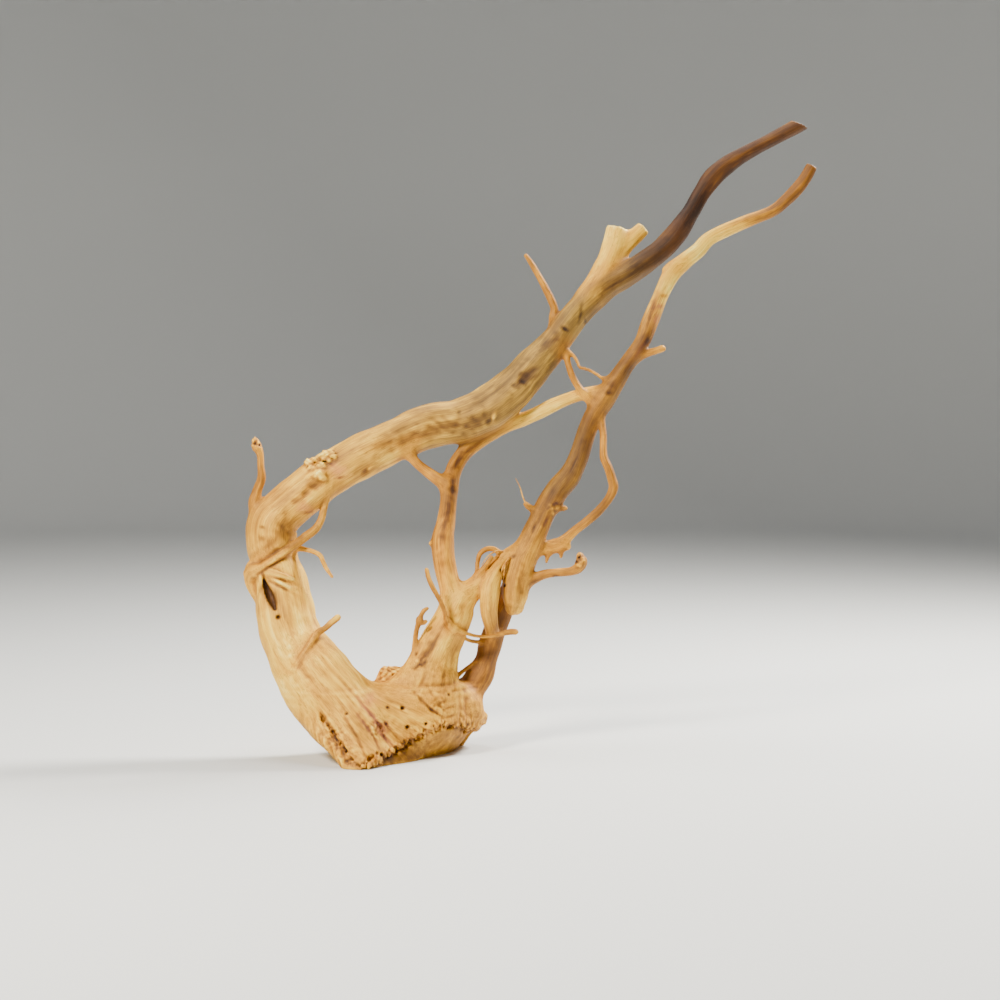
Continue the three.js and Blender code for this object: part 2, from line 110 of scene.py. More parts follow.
# %% The long limbs and arms
LIMBS = {
    # The left limb climbs out of the crown, bends at the knee and arches over to the right.
    "trunk": [
        (-50, 36, 48, 26), (-65, 54, 55, 29.5), (-79, 70, 60, 28), (-93, 90, 68, 25),
        (-103, 110, 75, 22.5), (-107, 130, 82, 21.5), (-110, 150, 88, 20.5), (-114, 165, 92, 18),
        (-116.5, 180, 94, 19.5), (-115, 194, 96, 21), (-107, 204, 98, 19.5),
        (-95, 214, 100, 18.3), (-77, 228, 103, 18), (-50, 245, 106, 17.3), (-20, 260, 110, 16.6),
        (5, 270.5, 113, 16.3), (30, 275, 116, 16.4), (52, 284, 118, 16), (72, 299, 120, 16),
        (88, 317, 122, 14.2), (103, 334, 124, 12.4), (114, 349, 127, 11.8), (126, 363, 131, 11),
        (144, 378, 136, 10.3), (165, 391, 142, 9.5), (185, 405, 148, 9), (198, 418, 152, 8.4),
        (209, 434, 157, 6.8), (218, 450, 161, 6.6), (226, 462, 163, 7.2), (236, 471.5, 165, 7),
        (248, 479.5, 166, 6.2), (261, 486.5, 168, 5.4), (275, 493.7, 170, 5.3),
        (288, 500.6, 172, 6), (302, 508, 173, 6.4),
    ],
    # The second long branch. Its lower end is a blunt shoulder in front of the right arm.
    "branch": [
        (73.5, 130, 93, 7.5), (74, 138, 92, 10), (76, 151, 94, 10.5), (80, 165, 96, 10.2),
        (85.5, 178, 98, 9.6), (92.5, 193, 101, 9), (98.5, 206, 103, 8.8), (107, 220, 105, 9),
        (116, 231, 107, 9), (122.5, 244, 109, 8), (127, 258, 111, 7.5), (131, 270, 112, 7.5),
        (136.5, 281, 113, 8.4), (144, 292, 113, 8.8), (151.5, 304, 113, 7.8),
        (160, 317, 114, 6.8), (168, 328, 115, 6.7), (174, 338, 116, 6.3), (178.5, 350, 118, 6.6),
        (184.5, 365, 120, 6), (190, 378, 122, 6.1), (196.5, 390, 124, 6.6), (206, 399, 126, 5.9),
        (216, 407, 128, 5.7), (226, 417, 130, 5.3), (250, 428, 134, 4.8), (273, 437, 137, 4.6),
        (283.5, 445, 138, 4.8), (292.5, 454, 139, 5), (299.3, 463, 140, 5),
        (304.5, 472.5, 140, 4.7),
    ],
    # The thick middle arm, which runs up behind the drop to the branch's shoulder.
    "middle_arm": [
        (2, 50, 70, 26), (5, 69, 74, 23), (9, 85, 78, 19), (14, 98, 80, 17), (20, 110, 82, 15.3),
        (26, 122, 84, 14), (31, 133, 86, 12.6), (40, 142, 90, 9.6), (50, 150, 94, 8),
        (60, 159, 98, 7.6), (70, 168, 100, 7.5), (80, 174, 100, 7),
    ],
    # The right arm, from the crown's right end up behind the shoulder.
    "right_arm": [
        (30, 45, 86, 13), (37.5, 61, 90, 11), (46.5, 75, 94.5, 10.8), (51.5, 88, 99, 8.6),
        (54, 98, 102, 9), (57, 108, 104, 9), (61, 118, 106, 8.8), (66, 130, 107, 8.8),
        (72, 145, 105, 8.5), (79, 160, 101, 8),
    ],
    # The slender branch that rises from the middle arm and bends right, under the trunk.
    "riser": [
        (27, 128, 86, 8), (23.5, 144, 88, 9), (20.3, 158, 90, 8.9), (18.2, 172, 92, 9),
        (18, 183, 94, 8.9), (20.2, 195, 96, 7.8), (22, 208, 98, 7), (23, 220, 102, 7),
        (25, 232, 107, 6.5), (29, 242, 113, 6.3), (36, 251, 118, 6), (46, 258, 121, 5),
        (57, 265, 123, 4.8), (67, 270, 124, 4.5), (80, 275.5, 123, 5), (92, 281, 122, 5.2),
        (104, 287, 120, 5), (117, 292.5, 118, 4.6), (130, 296, 116, 5), (142, 297, 114, 6),
    ],
    # The short arm that ties the riser to the trunk.
    "tie_arm": [
        (-10, 256, 108, 5), (-8.5, 249, 106, 4.2), (-2, 241.5, 105, 4), (6, 235, 104, 4.2),
        (13, 230, 102, 4.8), (21, 225, 101, 5.5),
    ],
    # The drop: a flat tongue of wood that hangs in front of the two arms.
    "drop": [
        (68, 167, 97, 4), (61, 159, 90, 5.2), (56, 148, 85, 6.8), (54, 137, 82, 7.4),
        (53.5, 126, 83, 6.8), (55, 116, 88, 5.6), (57, 107, 97, 4.5),
    ],
    # The pale stub that forks upward from the trunk and divides in two.
    "stub": [
        (132, 372, 134, 9), (139.5, 385, 139, 9), (146.5, 399, 143, 8.6), (150.5, 411, 147, 8.2),
        (153.5, 424, 150, 7.6),
    ],
    "stub_prong": [
        (145, 393, 142, 7), (152, 403.5, 146, 6.8), (161, 412.5, 149, 6.2),
        (169.5, 420.5, 152, 5.6), (173.5, 424.5, 153, 5.2),
    ],
    # The raised sheet of torn grain that runs from the left limb down to the toe.
    "buttress": [
        (-90, 98, 58, 8), (-80, 78, 50, 15), (-67, 54, 43, 19), (-55, 30, 32, 18),
        (-48, 12, 20, 13), (-46, 2, 12, 9),
    ],
}

# %% The twigs, spurs and knobs
TWIGS = {
    "finger": [
        (-124, 198, 97, 7), (-128.5, 210, 95, 5.6), (-127, 220, 94, 3.9), (-123.5, 230, 93, 3.6),
        (-124, 240, 92, 3), (-124.5, 249, 92, 3), (-127, 255, 91, 4.2), (-128, 259, 91, 2.6),
    ],
    "knee_twig": [
        (-101, 177, 92, 4), (-95, 175.5, 90, 2.8), (-90, 174.5, 88, 2.1), (-83, 172.5, 85, 2),
        (-78, 169.5, 83, 2.1), (-75.5, 164, 82, 2), (-73, 159, 81, 1.8), (-69, 153, 80, 1.4),
    ],
    "limb_twig": [
        (-96, 86, 43, 1.6), (-92, 92, 43.8, 1.9), (-88, 97.5, 46, 2.2), (-83.5, 104, 50.5, 2.4),
        (-79.5, 109.5, 54.5, 2.8), (-74.5, 112.5, 56, 2.4), (-69.5, 117, 57, 2.6),
        (-64.5, 121, 57.5, 2.6),
    ],
    "saddle_knob": [
        (-30, 62, 76, 6.5), (-29, 70, 76, 6.8), (-27.5, 76.5, 76, 5.6),
    ],
    "saddle_knob_right": [
        (-21.5, 62, 77, 7), (-20.5, 71, 77, 6.8), (-20, 77.5, 77, 5.2),
    ],
    "arm_twig": [
        (-1, 90, 74, 4.5), (-4, 97, 72, 2.6), (-3.8, 106, 71, 2.1), (-2.2, 114, 70, 2.1),
        (0, 121, 69, 1.8), (2.6, 126, 68, 1.8), (5.5, 128, 68, 1.5),
    ],
    "crossing_twig_up": [
        (24, 111, 70, 3), (20.5, 119, 65, 2.2), (18.5, 127, 62, 1.9), (14.5, 136, 60, 2),
        (10, 144, 59, 2.1), (6.5, 152, 58, 2.1), (5, 158.5, 58, 1.9),
    ],
    "crossing_twig_right": [
        (21, 118, 66, 2.2), (25, 113, 67, 1.9), (31, 110, 70, 1.6), (37, 108, 74, 1.5),
        (44, 106.2, 78, 1.5), (51, 105.8, 81, 1.5), (58, 106.6, 83, 1.7), (64, 108, 84, 2.2),
        (70, 109.5, 85, 2.7), (74.5, 109.5, 85, 2.6),
    ],
    "right_twig": [
        (78, 147, 96, 7), (86, 150, 95, 4.9), (97, 154.5, 93, 3.9), (108, 156, 92, 3.6),
        (118, 157, 91, 3.7), (124, 160, 90, 4.3), (126, 165, 90, 4.8), (125, 169, 90, 3),
    ],
    "loop": [
        (138, 283, 113, 5), (141.5, 274, 109, 3.2), (143, 264, 105, 2.8), (143, 254, 102, 2.8),
        (143.5, 246, 100, 3.1), (147, 238, 98, 3.2), (149.5, 230, 97, 3.5), (151, 222.5, 96, 3.7),
        (147, 213.5, 96, 3.4), (139, 204, 97, 3.4), (130, 196, 98, 3.3), (121, 189, 99, 3.3),
        (114, 182.5, 100, 4.1), (107, 177.5, 101, 5.1), (99, 176, 101, 4.9), (90, 173, 101, 6),
        (84, 172, 100, 7),
    ],
    "loop_heel": [
        (106, 177, 101, 4.8), (111, 177, 100, 4.2), (115, 176.5, 100, 3),
    ],
    "shoulder_spur": [
        (94, 201, 103, 5), (89, 205, 100, 2.9), (84.5, 208, 98, 2.3), (82.5, 210, 98, 1.9),
    ],
    "back_spur": [
        (101, 205, 103, 4), (108, 206, 101, 2.2), (113.5, 206.5, 100, 1.9),
    ],
    "straight_twig": [
        (38, 143, 90, 4), (42, 149, 89, 2.9), (46.5, 155.5, 89, 2.5), (51, 161.5, 89, 2.3),
        (55.5, 168, 90, 1.9),
    ],
    "hooked_twig": [
        (43.5, 151, 92, 2.4), (44.5, 158, 94, 1.9), (45, 165, 95, 1.9), (47, 171, 96, 2.1),
        (52, 174.5, 97, 2.2), (57.5, 174.5, 97, 2.2), (62, 171.5, 97, 2.4), (67, 168, 97, 3.4),
        (72, 168, 98, 5),
    ],
    "cross_twig": [
        (109, 331, 122, 4), (113.5, 326, 118, 2.7), (115.5, 319, 116, 2.5),
        (118.5, 310, 114, 2.7), (123, 302, 113, 2.9), (129, 294, 112, 3.1), (136, 287, 112, 4),
    ],
    "cross_root": [
        (111, 330, 121, 2.4), (118, 327, 117, 1.5), (122, 322, 116, 1.3),
        (124.5, 316.5, 115, 1.3), (130.5, 314.8, 114, 1.3), (137, 311.5, 113, 1.3),
        (142, 308.3, 113, 1.5), (149, 306.5, 113, 2.6),
    ],
    "end_spur": [
        (168, 325, 115, 5), (176, 327, 113, 3.3), (183, 329, 112, 2.7), (189, 331, 111, 2.6),
    ],
    "top_twig": [
        (106, 344, 128, 6), (104, 355, 131, 3.6), (104.5, 362, 132, 3), (102, 369, 133, 3),
        (97, 379, 134, 2.8), (92, 388, 135, 2.5), (87, 396.5, 136, 2.3), (82.5, 403, 136, 1.7),
    ],
    "gap_root_low": [
        (22, 70, 80, 3), (28, 74.5, 82, 1.8), (34, 79, 86, 1.7), (40, 83.5, 90, 1.8),
        (46, 86, 95, 3),
    ],
    "gap_root_high": [
        (28, 109, 84, 3.4), (34, 105, 86, 1.8), (39, 102.5, 90, 1.7), (45, 101.5, 94, 1.8),
        (50, 101, 99, 3),
    ],
    # The flat root that leaves the trunk, wraps down over the knee and ends in a knuckle.
    "wrap_root": [
        (-70, 226, 92, 4), (-72.5, 216, 92, 2.8), (-75, 206, 92, 2.8), (-77.5, 197, 91, 2.9),
        (-82, 190, 89, 3.3), (-90, 184, 85, 3.6), (-99, 177.5, 81, 3.9), (-108, 171, 77, 4.3),
        (-117, 164.5, 75, 4.6), (-125, 159, 78, 4.8), (-131, 156, 84, 5.4), (-132.5, 150, 88, 5),
        (-129.5, 141, 88, 4), (-126, 134, 87, 3),
    ],
    "knuckle": [
        (-122, 163, 88, 8), (-130, 160, 86, 6.4), (-134, 156, 87, 4),
    ],
    # The rootlets that spread like fingers below the knuckle.
    "rootlet_upper": [
        (-121, 158.5, 75, 2.6), (-114, 157, 70, 1.8), (-107, 154.5, 68.6, 1.6),
        (-100, 151.3, 70.5, 1.4),
    ],
    "rootlet_lower": [
        (-121, 156, 75, 2.6), (-114.5, 152.5, 69.5, 1.9), (-107.5, 148.3, 67, 1.7),
        (-101.5, 144.2, 67.5, 1.4),
    ],
    "rootlet_left": [
        (-123, 157, 76, 2.8), (-124.2, 150.5, 73, 2.1), (-125.5, 144.5, 72.4, 1.9),
        (-126.2, 139.5, 74, 1.4),
    ],
    "riser_nub": [(15, 180, 93, 4), (11, 179.6, 93, 2.2), (7.5, 179, 93, 1.2)],
    "arm_twig_fork": [(-1, 119, 69, 2), (2.5, 116.5, 68, 1.7), (4.6, 118, 68, 1.4)],
    "branch_knob": [(201, 396, 125, 4.5), (195, 395, 124, 3), (190.5, 392.5, 123, 1.8)],
    "heel_rootlet": [(101, 172, 100, 3), (99.5, 168, 99, 1.7), (98.8, 164.5, 98, 1.3)],
    "heel_rootlet_right": [(110, 175, 100, 2.6), (110.5, 170.5, 99, 1.5), (110, 168, 98, 1.2)],
}

# %% How each limb joins its neighbours
JOINS = {  # name: softness of the join in millimetres, grain family
    "trunk": (12, 0), "buttress": (14, 1), "middle_arm": (18, 0), "right_arm": (10, 0),
    "branch": (4, 1), "riser": (7, 2), "tie_arm": (6, 1), "drop": (3.2, 2), "stub": (9, 2),
    "wrap_root": (1.8, 2), "knuckle": (4, 1), "saddle_knob": (3, 2), "loop_heel": (3, 1),
    "saddle_knob_right": (3.5, 0), "stub_prong": (5, 1), "limb_twig": (1.4, 2),
    "rootlet_upper": (1.2, 0), "rootlet_lower": (1.2, 1), "rootlet_left": (1.4, 0),
}
TWIG_JOIN = (3.4, 2)
SAWN_LIMBS = ("trunk", "branch", "stub", "stub_prong")
all_rows = {**LIMBS, **TWIGS}
print("limbs and twigs:", len(all_rows))

# %% [markdown]
# ## From rows to smooth lines
# A smooth line through the rows gives the middle of the limb, and its half width rides along
# as a fourth number. A frame of two directions square to the line is carried along without
# twist, so that a place on the skin can be named by its distance along the limb and by two
# offsets across it. The grain will be drawn in those numbers.

# %% A limb as a smooth line with a frame
STEP = 1.5
GRAIN_TURNS_FROM = np.array([0.0, 1.0, 0.0])


def smooth_line(rows):
    """A curve through all the rows, with a place about every STEP millimetres."""
    ends = np.vstack([2 * rows[0] - rows[1], rows, 2 * rows[-1] - rows[-2]])
    stretches = []
    for a, b, c, d in zip(ends[:-3], ends[1:-2], ends[2:-1], ends[3:]):
        steps = max(2, round(float(np.linalg.norm(c[:3] - b[:3])) / STEP))
        t = (np.arange(steps) / steps)[:, None]
        stretches.append(0.5 * (2 * b + (c - a) * t + (2 * a - 5 * b + 4 * c - d) * t ** 2
                                + (3 * b - a - 3 * c + d) * t ** 3))
    return np.vstack(stretches + [rows[-1:]])


def grown(name, rows, seed):
    """A limb ready to read: its line, the directions along and across it, and its girth."""
    drawing = np.array(rows, float)
    back = drawing[:, 2]
    places = placed(drawing[:, 0], drawing[:, 1], back)
    girth = drawing[:, 3] * (1 + back / EYE_DISTANCE)
    line = smooth_line(np.column_stack([places, girth]))
    middle = line[:, :3]
    ahead = np.gradient(middle, axis=0)
    ahead /= np.linalg.norm(ahead, axis=1, keepdims=True)
    side = np.zeros_like(middle)
    carried = GRAIN_TURNS_FROM
    for i, direction in enumerate(ahead):
        carried = carried - carried @ direction * direction
        carried /= np.linalg.norm(carried)
        side[i] = carried
    along = np.concatenate([[0], np.cumsum(np.linalg.norm(np.diff(middle, axis=0), axis=1))])
    join, family = JOINS.get(name, TWIG_JOIN)
    return {
        "name": name, "middle": middle, "ahead": ahead, "side": side,
        "up": np.cross(ahead, side), "girth": line[:, 3], "along": along,
        "seed": seed, "join": join, "family": family, "sawn": name in SAWN_LIMBS,
    }


limbs = [grown(name, rows, seed) for seed, (name, rows) in enumerate(all_rows.items(), start=1)]
print("length of grain in all:", round(sum(limb["along"][-1] for limb in limbs)), "mm")

# %% [markdown]
# ## How far a point is from a limb
# The body is made as a distance field: a number at every point of space that says how far
# the skin is, below zero inside. Fields melt into each other with a little arithmetic,
# which gives the smooth crotches that joined tubes never have. This cell reads one limb:
# the nearest step of its line, the offsets across it, and the skin's reach at that angle,
# which swells and flattens slowly as grown wood does.

# %% Read a limb at many points
DEPTH_SHARE = 0.92  # how deep a limb is from front to back, as a share of its width
FAR = 30.0
NO_SKIN = 1000.0


def skin_reach(limb, angle, along):
    """How far the skin lies from the middle line, as a share of the half width."""
    seed = limb["seed"]
    # Two or three broad swells and finer flutes lie round a limb, and turn slowly along it.
    slow = (1 + 0.05 * np.cos(2 * angle + along * 0.021 + seed)
            + 0.035 * np.cos(3 * angle - along * 0.034 + 2.1 * seed)
            + 0.025 * np.sin(along * 0.11 + 1.7 * seed))
    flutes = (0.018 * np.cos(5 * angle + 1.3 * np.sin(along * 0.03 + seed) + seed)
              + 0.012 * np.cos(7 * angle - 1.7 * np.sin(along * 0.022) + 2 * seed)
              + 0.012 * np.sin(along * 0.27 + 3 * np.cos(angle) + seed))
    return slow + flutes


def read_limb(limb, points, first=0, last=None):
    """How far points are from a limb's skin, and where they lie: along it and off its line."""
    last = len(limb["along"]) - 1 if last is None else last
    part = slice(first, last + 1)
    middle = limb["middle"][part].astype(np.float32)
    points = points.astype(np.float32)
    squared = (middle ** 2).sum(1)[None] - 2 * points @ middle.T
    nearest = squared.argmin(1)
    index = nearest + first
    offset = points - middle[nearest]
    ahead = limb["ahead"][index]
    forward = (offset * ahead).sum(1)
    u = (offset * limb["side"][index]).sum(1)
    v = (offset * limb["up"][index]).sum(1)
    along = limb["along"][index] + forward
    girth = np.interp(along, limb["along"], limb["girth"])
    reach = girth * skin_reach(limb, np.arctan2(v, u), along)
    flat = 1 / DEPTH_SHARE ** np.abs(limb["side"][index][:, 1])
    lateral = np.sqrt((u * flat) ** 2 + v ** 2)
    before_root = np.where(index == 0, -forward, 0)
    past_tip = np.where(index == len(limb["along"]) - 1, forward, -FAR)
    if limb["sawn"]:
        distance = np.maximum(np.hypot(lateral, np.maximum(before_root, 0)) - reach, past_tip)
    else:
        past = np.maximum(np.maximum(before_root, past_tip), 0)
        distance = np.hypot(lateral, past) - reach
    loose = ((nearest == 0) & (first > 0)) | ((index == last) & (last < len(limb["along"]) - 1))
    return np.where(loose, NO_SKIN, distance), along, u, v


# %% [markdown]
# ## The grid
# The field is kept on a grid of small cells. A limb only fills the cells near it, a stretch
# at a time, so that the millions of cells far from any wood cost nothing. The smaller the
# cells, the crisper the wood: here they are little more than a millimetre.

# %% Set up the grid and fill it with one limb
CELL = 1.3
GRID_MARGIN = 12.0
grid_low = np.array(cad_box[0]) * 1000 - GRID_MARGIN
grid_high = np.array(cad_box[1]) * 1000 + GRID_MARGIN
grid_shape = np.ceil((grid_high - grid_low) / CELL).astype(int)
field = np.full(grid_shape, FAR, np.float32)
STRETCH = 24  # steps of a limb's line that are read in one go
OVERLAP = 5
WIDEST_SKIN = 1.15


def cells_between(low, high):
    """The block of the grid between two corners, and the middles of its cells."""
    start = np.clip(np.floor((low - grid_low) / CELL).astype(int), 0, grid_shape)
    stop = np.clip(np.ceil((high - grid_low) / CELL).astype(int) + 1, 0, grid_shape)
    block = tuple(slice(a, b) for a, b in zip(start, stop))
    axes = [grid_low[k] + CELL * np.arange(start[k], stop[k]) for k in range(3)]
    points = np.stack(np.meshgrid(*axes, indexing="ij"), axis=-1).reshape(-1, 3)
    return block, points


def cells_around(centre, reach):
    return cells_between(np.array(centre) - reach, np.array(centre) + reach)


def limb_field(limb, band):
    """The field of one limb alone, right up to a band's width off its skin."""
    alone = np.full(grid_shape, FAR, np.float32)
    count = len(limb["along"])
    for first in range(0, count, STRETCH):
        last = min(first + STRETCH, count - 1)
        reach = limb["girth"][first:last + 1].max() * WIDEST_SKIN + band
        middle = limb["middle"][first:last + 1]
        block, points = cells_between(middle.min(0) - reach, middle.max(0) + reach)
        if len(points) == 0:
            continue
        low, high = max(0, first - OVERLAP), min(count - 1, last + OVERLAP)
        distance = read_limb(limb, points, low, high)[0]
        part = alone[block]
        alone[block] = np.minimum(part, distance.reshape(part.shape))
    return alone


def melted(a, b, softness):
    """Two bodies joined, with a soft crotch between them."""
    near = np.clip(softness - np.abs(a - b), 0, None) / softness
    return np.minimum(a, b) - near * near * softness / 4


def shared(a, b, softness):
    """What two bodies have in common, with a rounded edge."""
    return -melted(-a, -b, softness)


def add_to_field(block, change):
    field[block] += change.reshape(field[block].shape)


def cut_from_field(block, hollow, softness):
    """Takes a hollow, above zero inside, out of the wood."""
    field[block] = shared(field[block], hollow.reshape(field[block].shape), softness)


print("grid:", grid_shape.tolist(), "cells of", CELL, "mm")

# %% [markdown]
# ## The root crown
# The crown isn't a limb: it is a lump that was sawn across below. It is described by level
# slices, each an egg-shaped ellipse that turns as it rises, so that the foot runs back under
# the weight of the limbs while the body lies across. Between two slices every number is
# taken in proportion.

# %% The crown's slices as a field
CROWN = np.array([
    # height, middle across, middle back, half length, half width, turn in degrees
    (0, -16, 67, 72, 29, 57),
    (5, -16, 68, 74, 31, 53),
    (11, -16.5, 68.5, 75, 33, 47),
    (16, -18, 69, 77, 35, 40),
    (21, -20, 69.5, 79, 36, 33),
    (28, -22, 69, 79, 35.5, 26),
    (36, -26, 70, 77, 35.5, 20),
    (44, -28, 70.5, 75, 33, 16),
    (51, -29, 71, 70, 29, 13),
    (56, -30, 72, 62, 24, 11),
    (59, -30, 72, 50, 17, 10),
])
CROWN_EGG = 0.2
CROWN_TOP_EDGE = 9.0
CROWN_REACH = (np.array([-115.0, -90.0, -8.0]), np.array([115.0, 90.0, 80.0]))


def turned(x, y, degrees):
    """Two offsets as they are along and across a direction turned by some degrees."""
    turn = np.radians(degrees)
    return x * np.cos(turn) + y * np.sin(turn), y * np.cos(turn) - x * np.sin(turn)


def crown_place(points):
    """Where points lie on the crown: along its long side, across it, and the slice there."""
    height = points[:, 2]
    at = [np.interp(height, CROWN[:, 0], CROWN[:, k]) for k in range(1, 6)]
    across = points[:, 0] - (at[0] - FOOT_ACROSS)
    back = points[:, 1] - (at[1] - FOOT_BACK)
    long, side = turned(across, back, at[4])
    return long, side, at[2], at[3]


def crown_distance(points):
    """Roughly how far points are from the crown's skin, below zero inside."""
    height = points[:, 2]
    long, side, half, wide = crown_place(points)
    angle = np.arctan2(side / wide, long / half)
    lumps = 1 + 0.03 * np.sin(5 * angle + height * 0.1) + 0.02 * np.sin(9 * angle - height * 0.16)
    half = half * lumps
    wide = wide * (1 + CROWN_EGG * np.cos(angle)) * lumps
    ratio = np.sqrt((long / half) ** 2 + (side / wide) ** 2)
    slope = np.sqrt((long / half ** 2) ** 2 + (side / wide ** 2) ** 2)
    distance = (ratio - 1) * ratio / np.maximum(slope, 1e-4)
    return shared(distance, height - CROWN[-1, 0], CROWN_TOP_EDGE)


def crown_field():
    """The crown alone, with its distances evened out where the ellipse stretches them."""
    alone = np.full(grid_shape, FAR, np.float32)
    block, points = cells_between(*CROWN_REACH)
    part = alone[block]
    distance = crown_distance(points).reshape(part.shape)
    steep = np.sqrt(sum(g ** 2 for g in np.gradient(distance, CELL)))
    alone[block] = distance / np.clip(steep, 0.6, 2.5)
    return alone


# %% [markdown]
# ## Melt it all together
# The crown and the thick limbs come first, with wide soft joins, and the twigs last, with
# joins as small as they are. A limb that only passes another is further away than its join
# is soft, so nothing bridges the gap between them.

# %% Join the crown and every limb
BAND = 5.0  # how far past its soft join a limb's field is worked out
field = np.minimum(field, crown_field())
for limb in sorted(limbs, key=lambda one: -one["join"]):
    alone = limb_field(limb, limb["join"] + BAND)
    near = alone < limb["join"] + BAND - 1
    field[near] = melted(field[near], alone[near], limb["join"])

# The trunk's tip was sawn on a slant. The cut faces up and to the right.
TIP_CUT_FACES = np.array([0.431, 0.0, 0.902])
tip_cut_at = placed(*np.array([293.0, 505.2, 172.0]))
block, points = cells_between(tip_cut_at - 22, tip_cut_at + 30)
beyond = ((points - tip_cut_at) @ TIP_CUT_FACES).reshape(field[block].shape)
field[block] = np.maximum(field[block], beyond)
print("joined after", round(time.time() - started, 1), "s")

# %% [markdown]
# ## Marks of growth, rot and water
# What makes a limb look like wood is what happened to it: knots where twigs broke off, a
# hollow that rotted out, worn bumps, pinholes. Each mark is one row: where the front view
# shows it, how long and wide it is, how it is turned, how deep it goes and how it darkens or
# lightens the wood. That colour is stain in some rows, and in others painted shade in dents
# and painted highlight on ridges. A ray from the eye finds the skin under the mark, and the
# same row later colours it.

# %% Find the skin under a place on the drawing
def field_at(points):
    """The field between cells, in proportion to the eight cells around each point."""
    cell = (points - grid_low) / CELL
    low = np.clip(np.floor(cell).astype(int), 0, grid_shape - 2)
    share = np.clip(cell - low, 0, 1)
    value = 0
    for corner in np.ndindex(2, 2, 2):
        weight = np.prod([share[:, k] if corner[k] else 1 - share[:, k] for k in range(3)], axis=0)
        value = value + weight * field[tuple((low + corner).T)]
    return value


RAY_BACK = np.arange(-20.0, 205.0, 0.5)


def skin_point(across, up, from_behind=False):
    """Where a ray from the eye, or one that comes from behind, first meets the wood."""
    back = RAY_BACK
    if from_behind:
        back = back[::-1]
    ray = placed(np.full_like(back, across), np.full_like(back, up), back)
    inside = field_at(ray) < 0
    return ray[inside.argmax()] if inside.any() else None


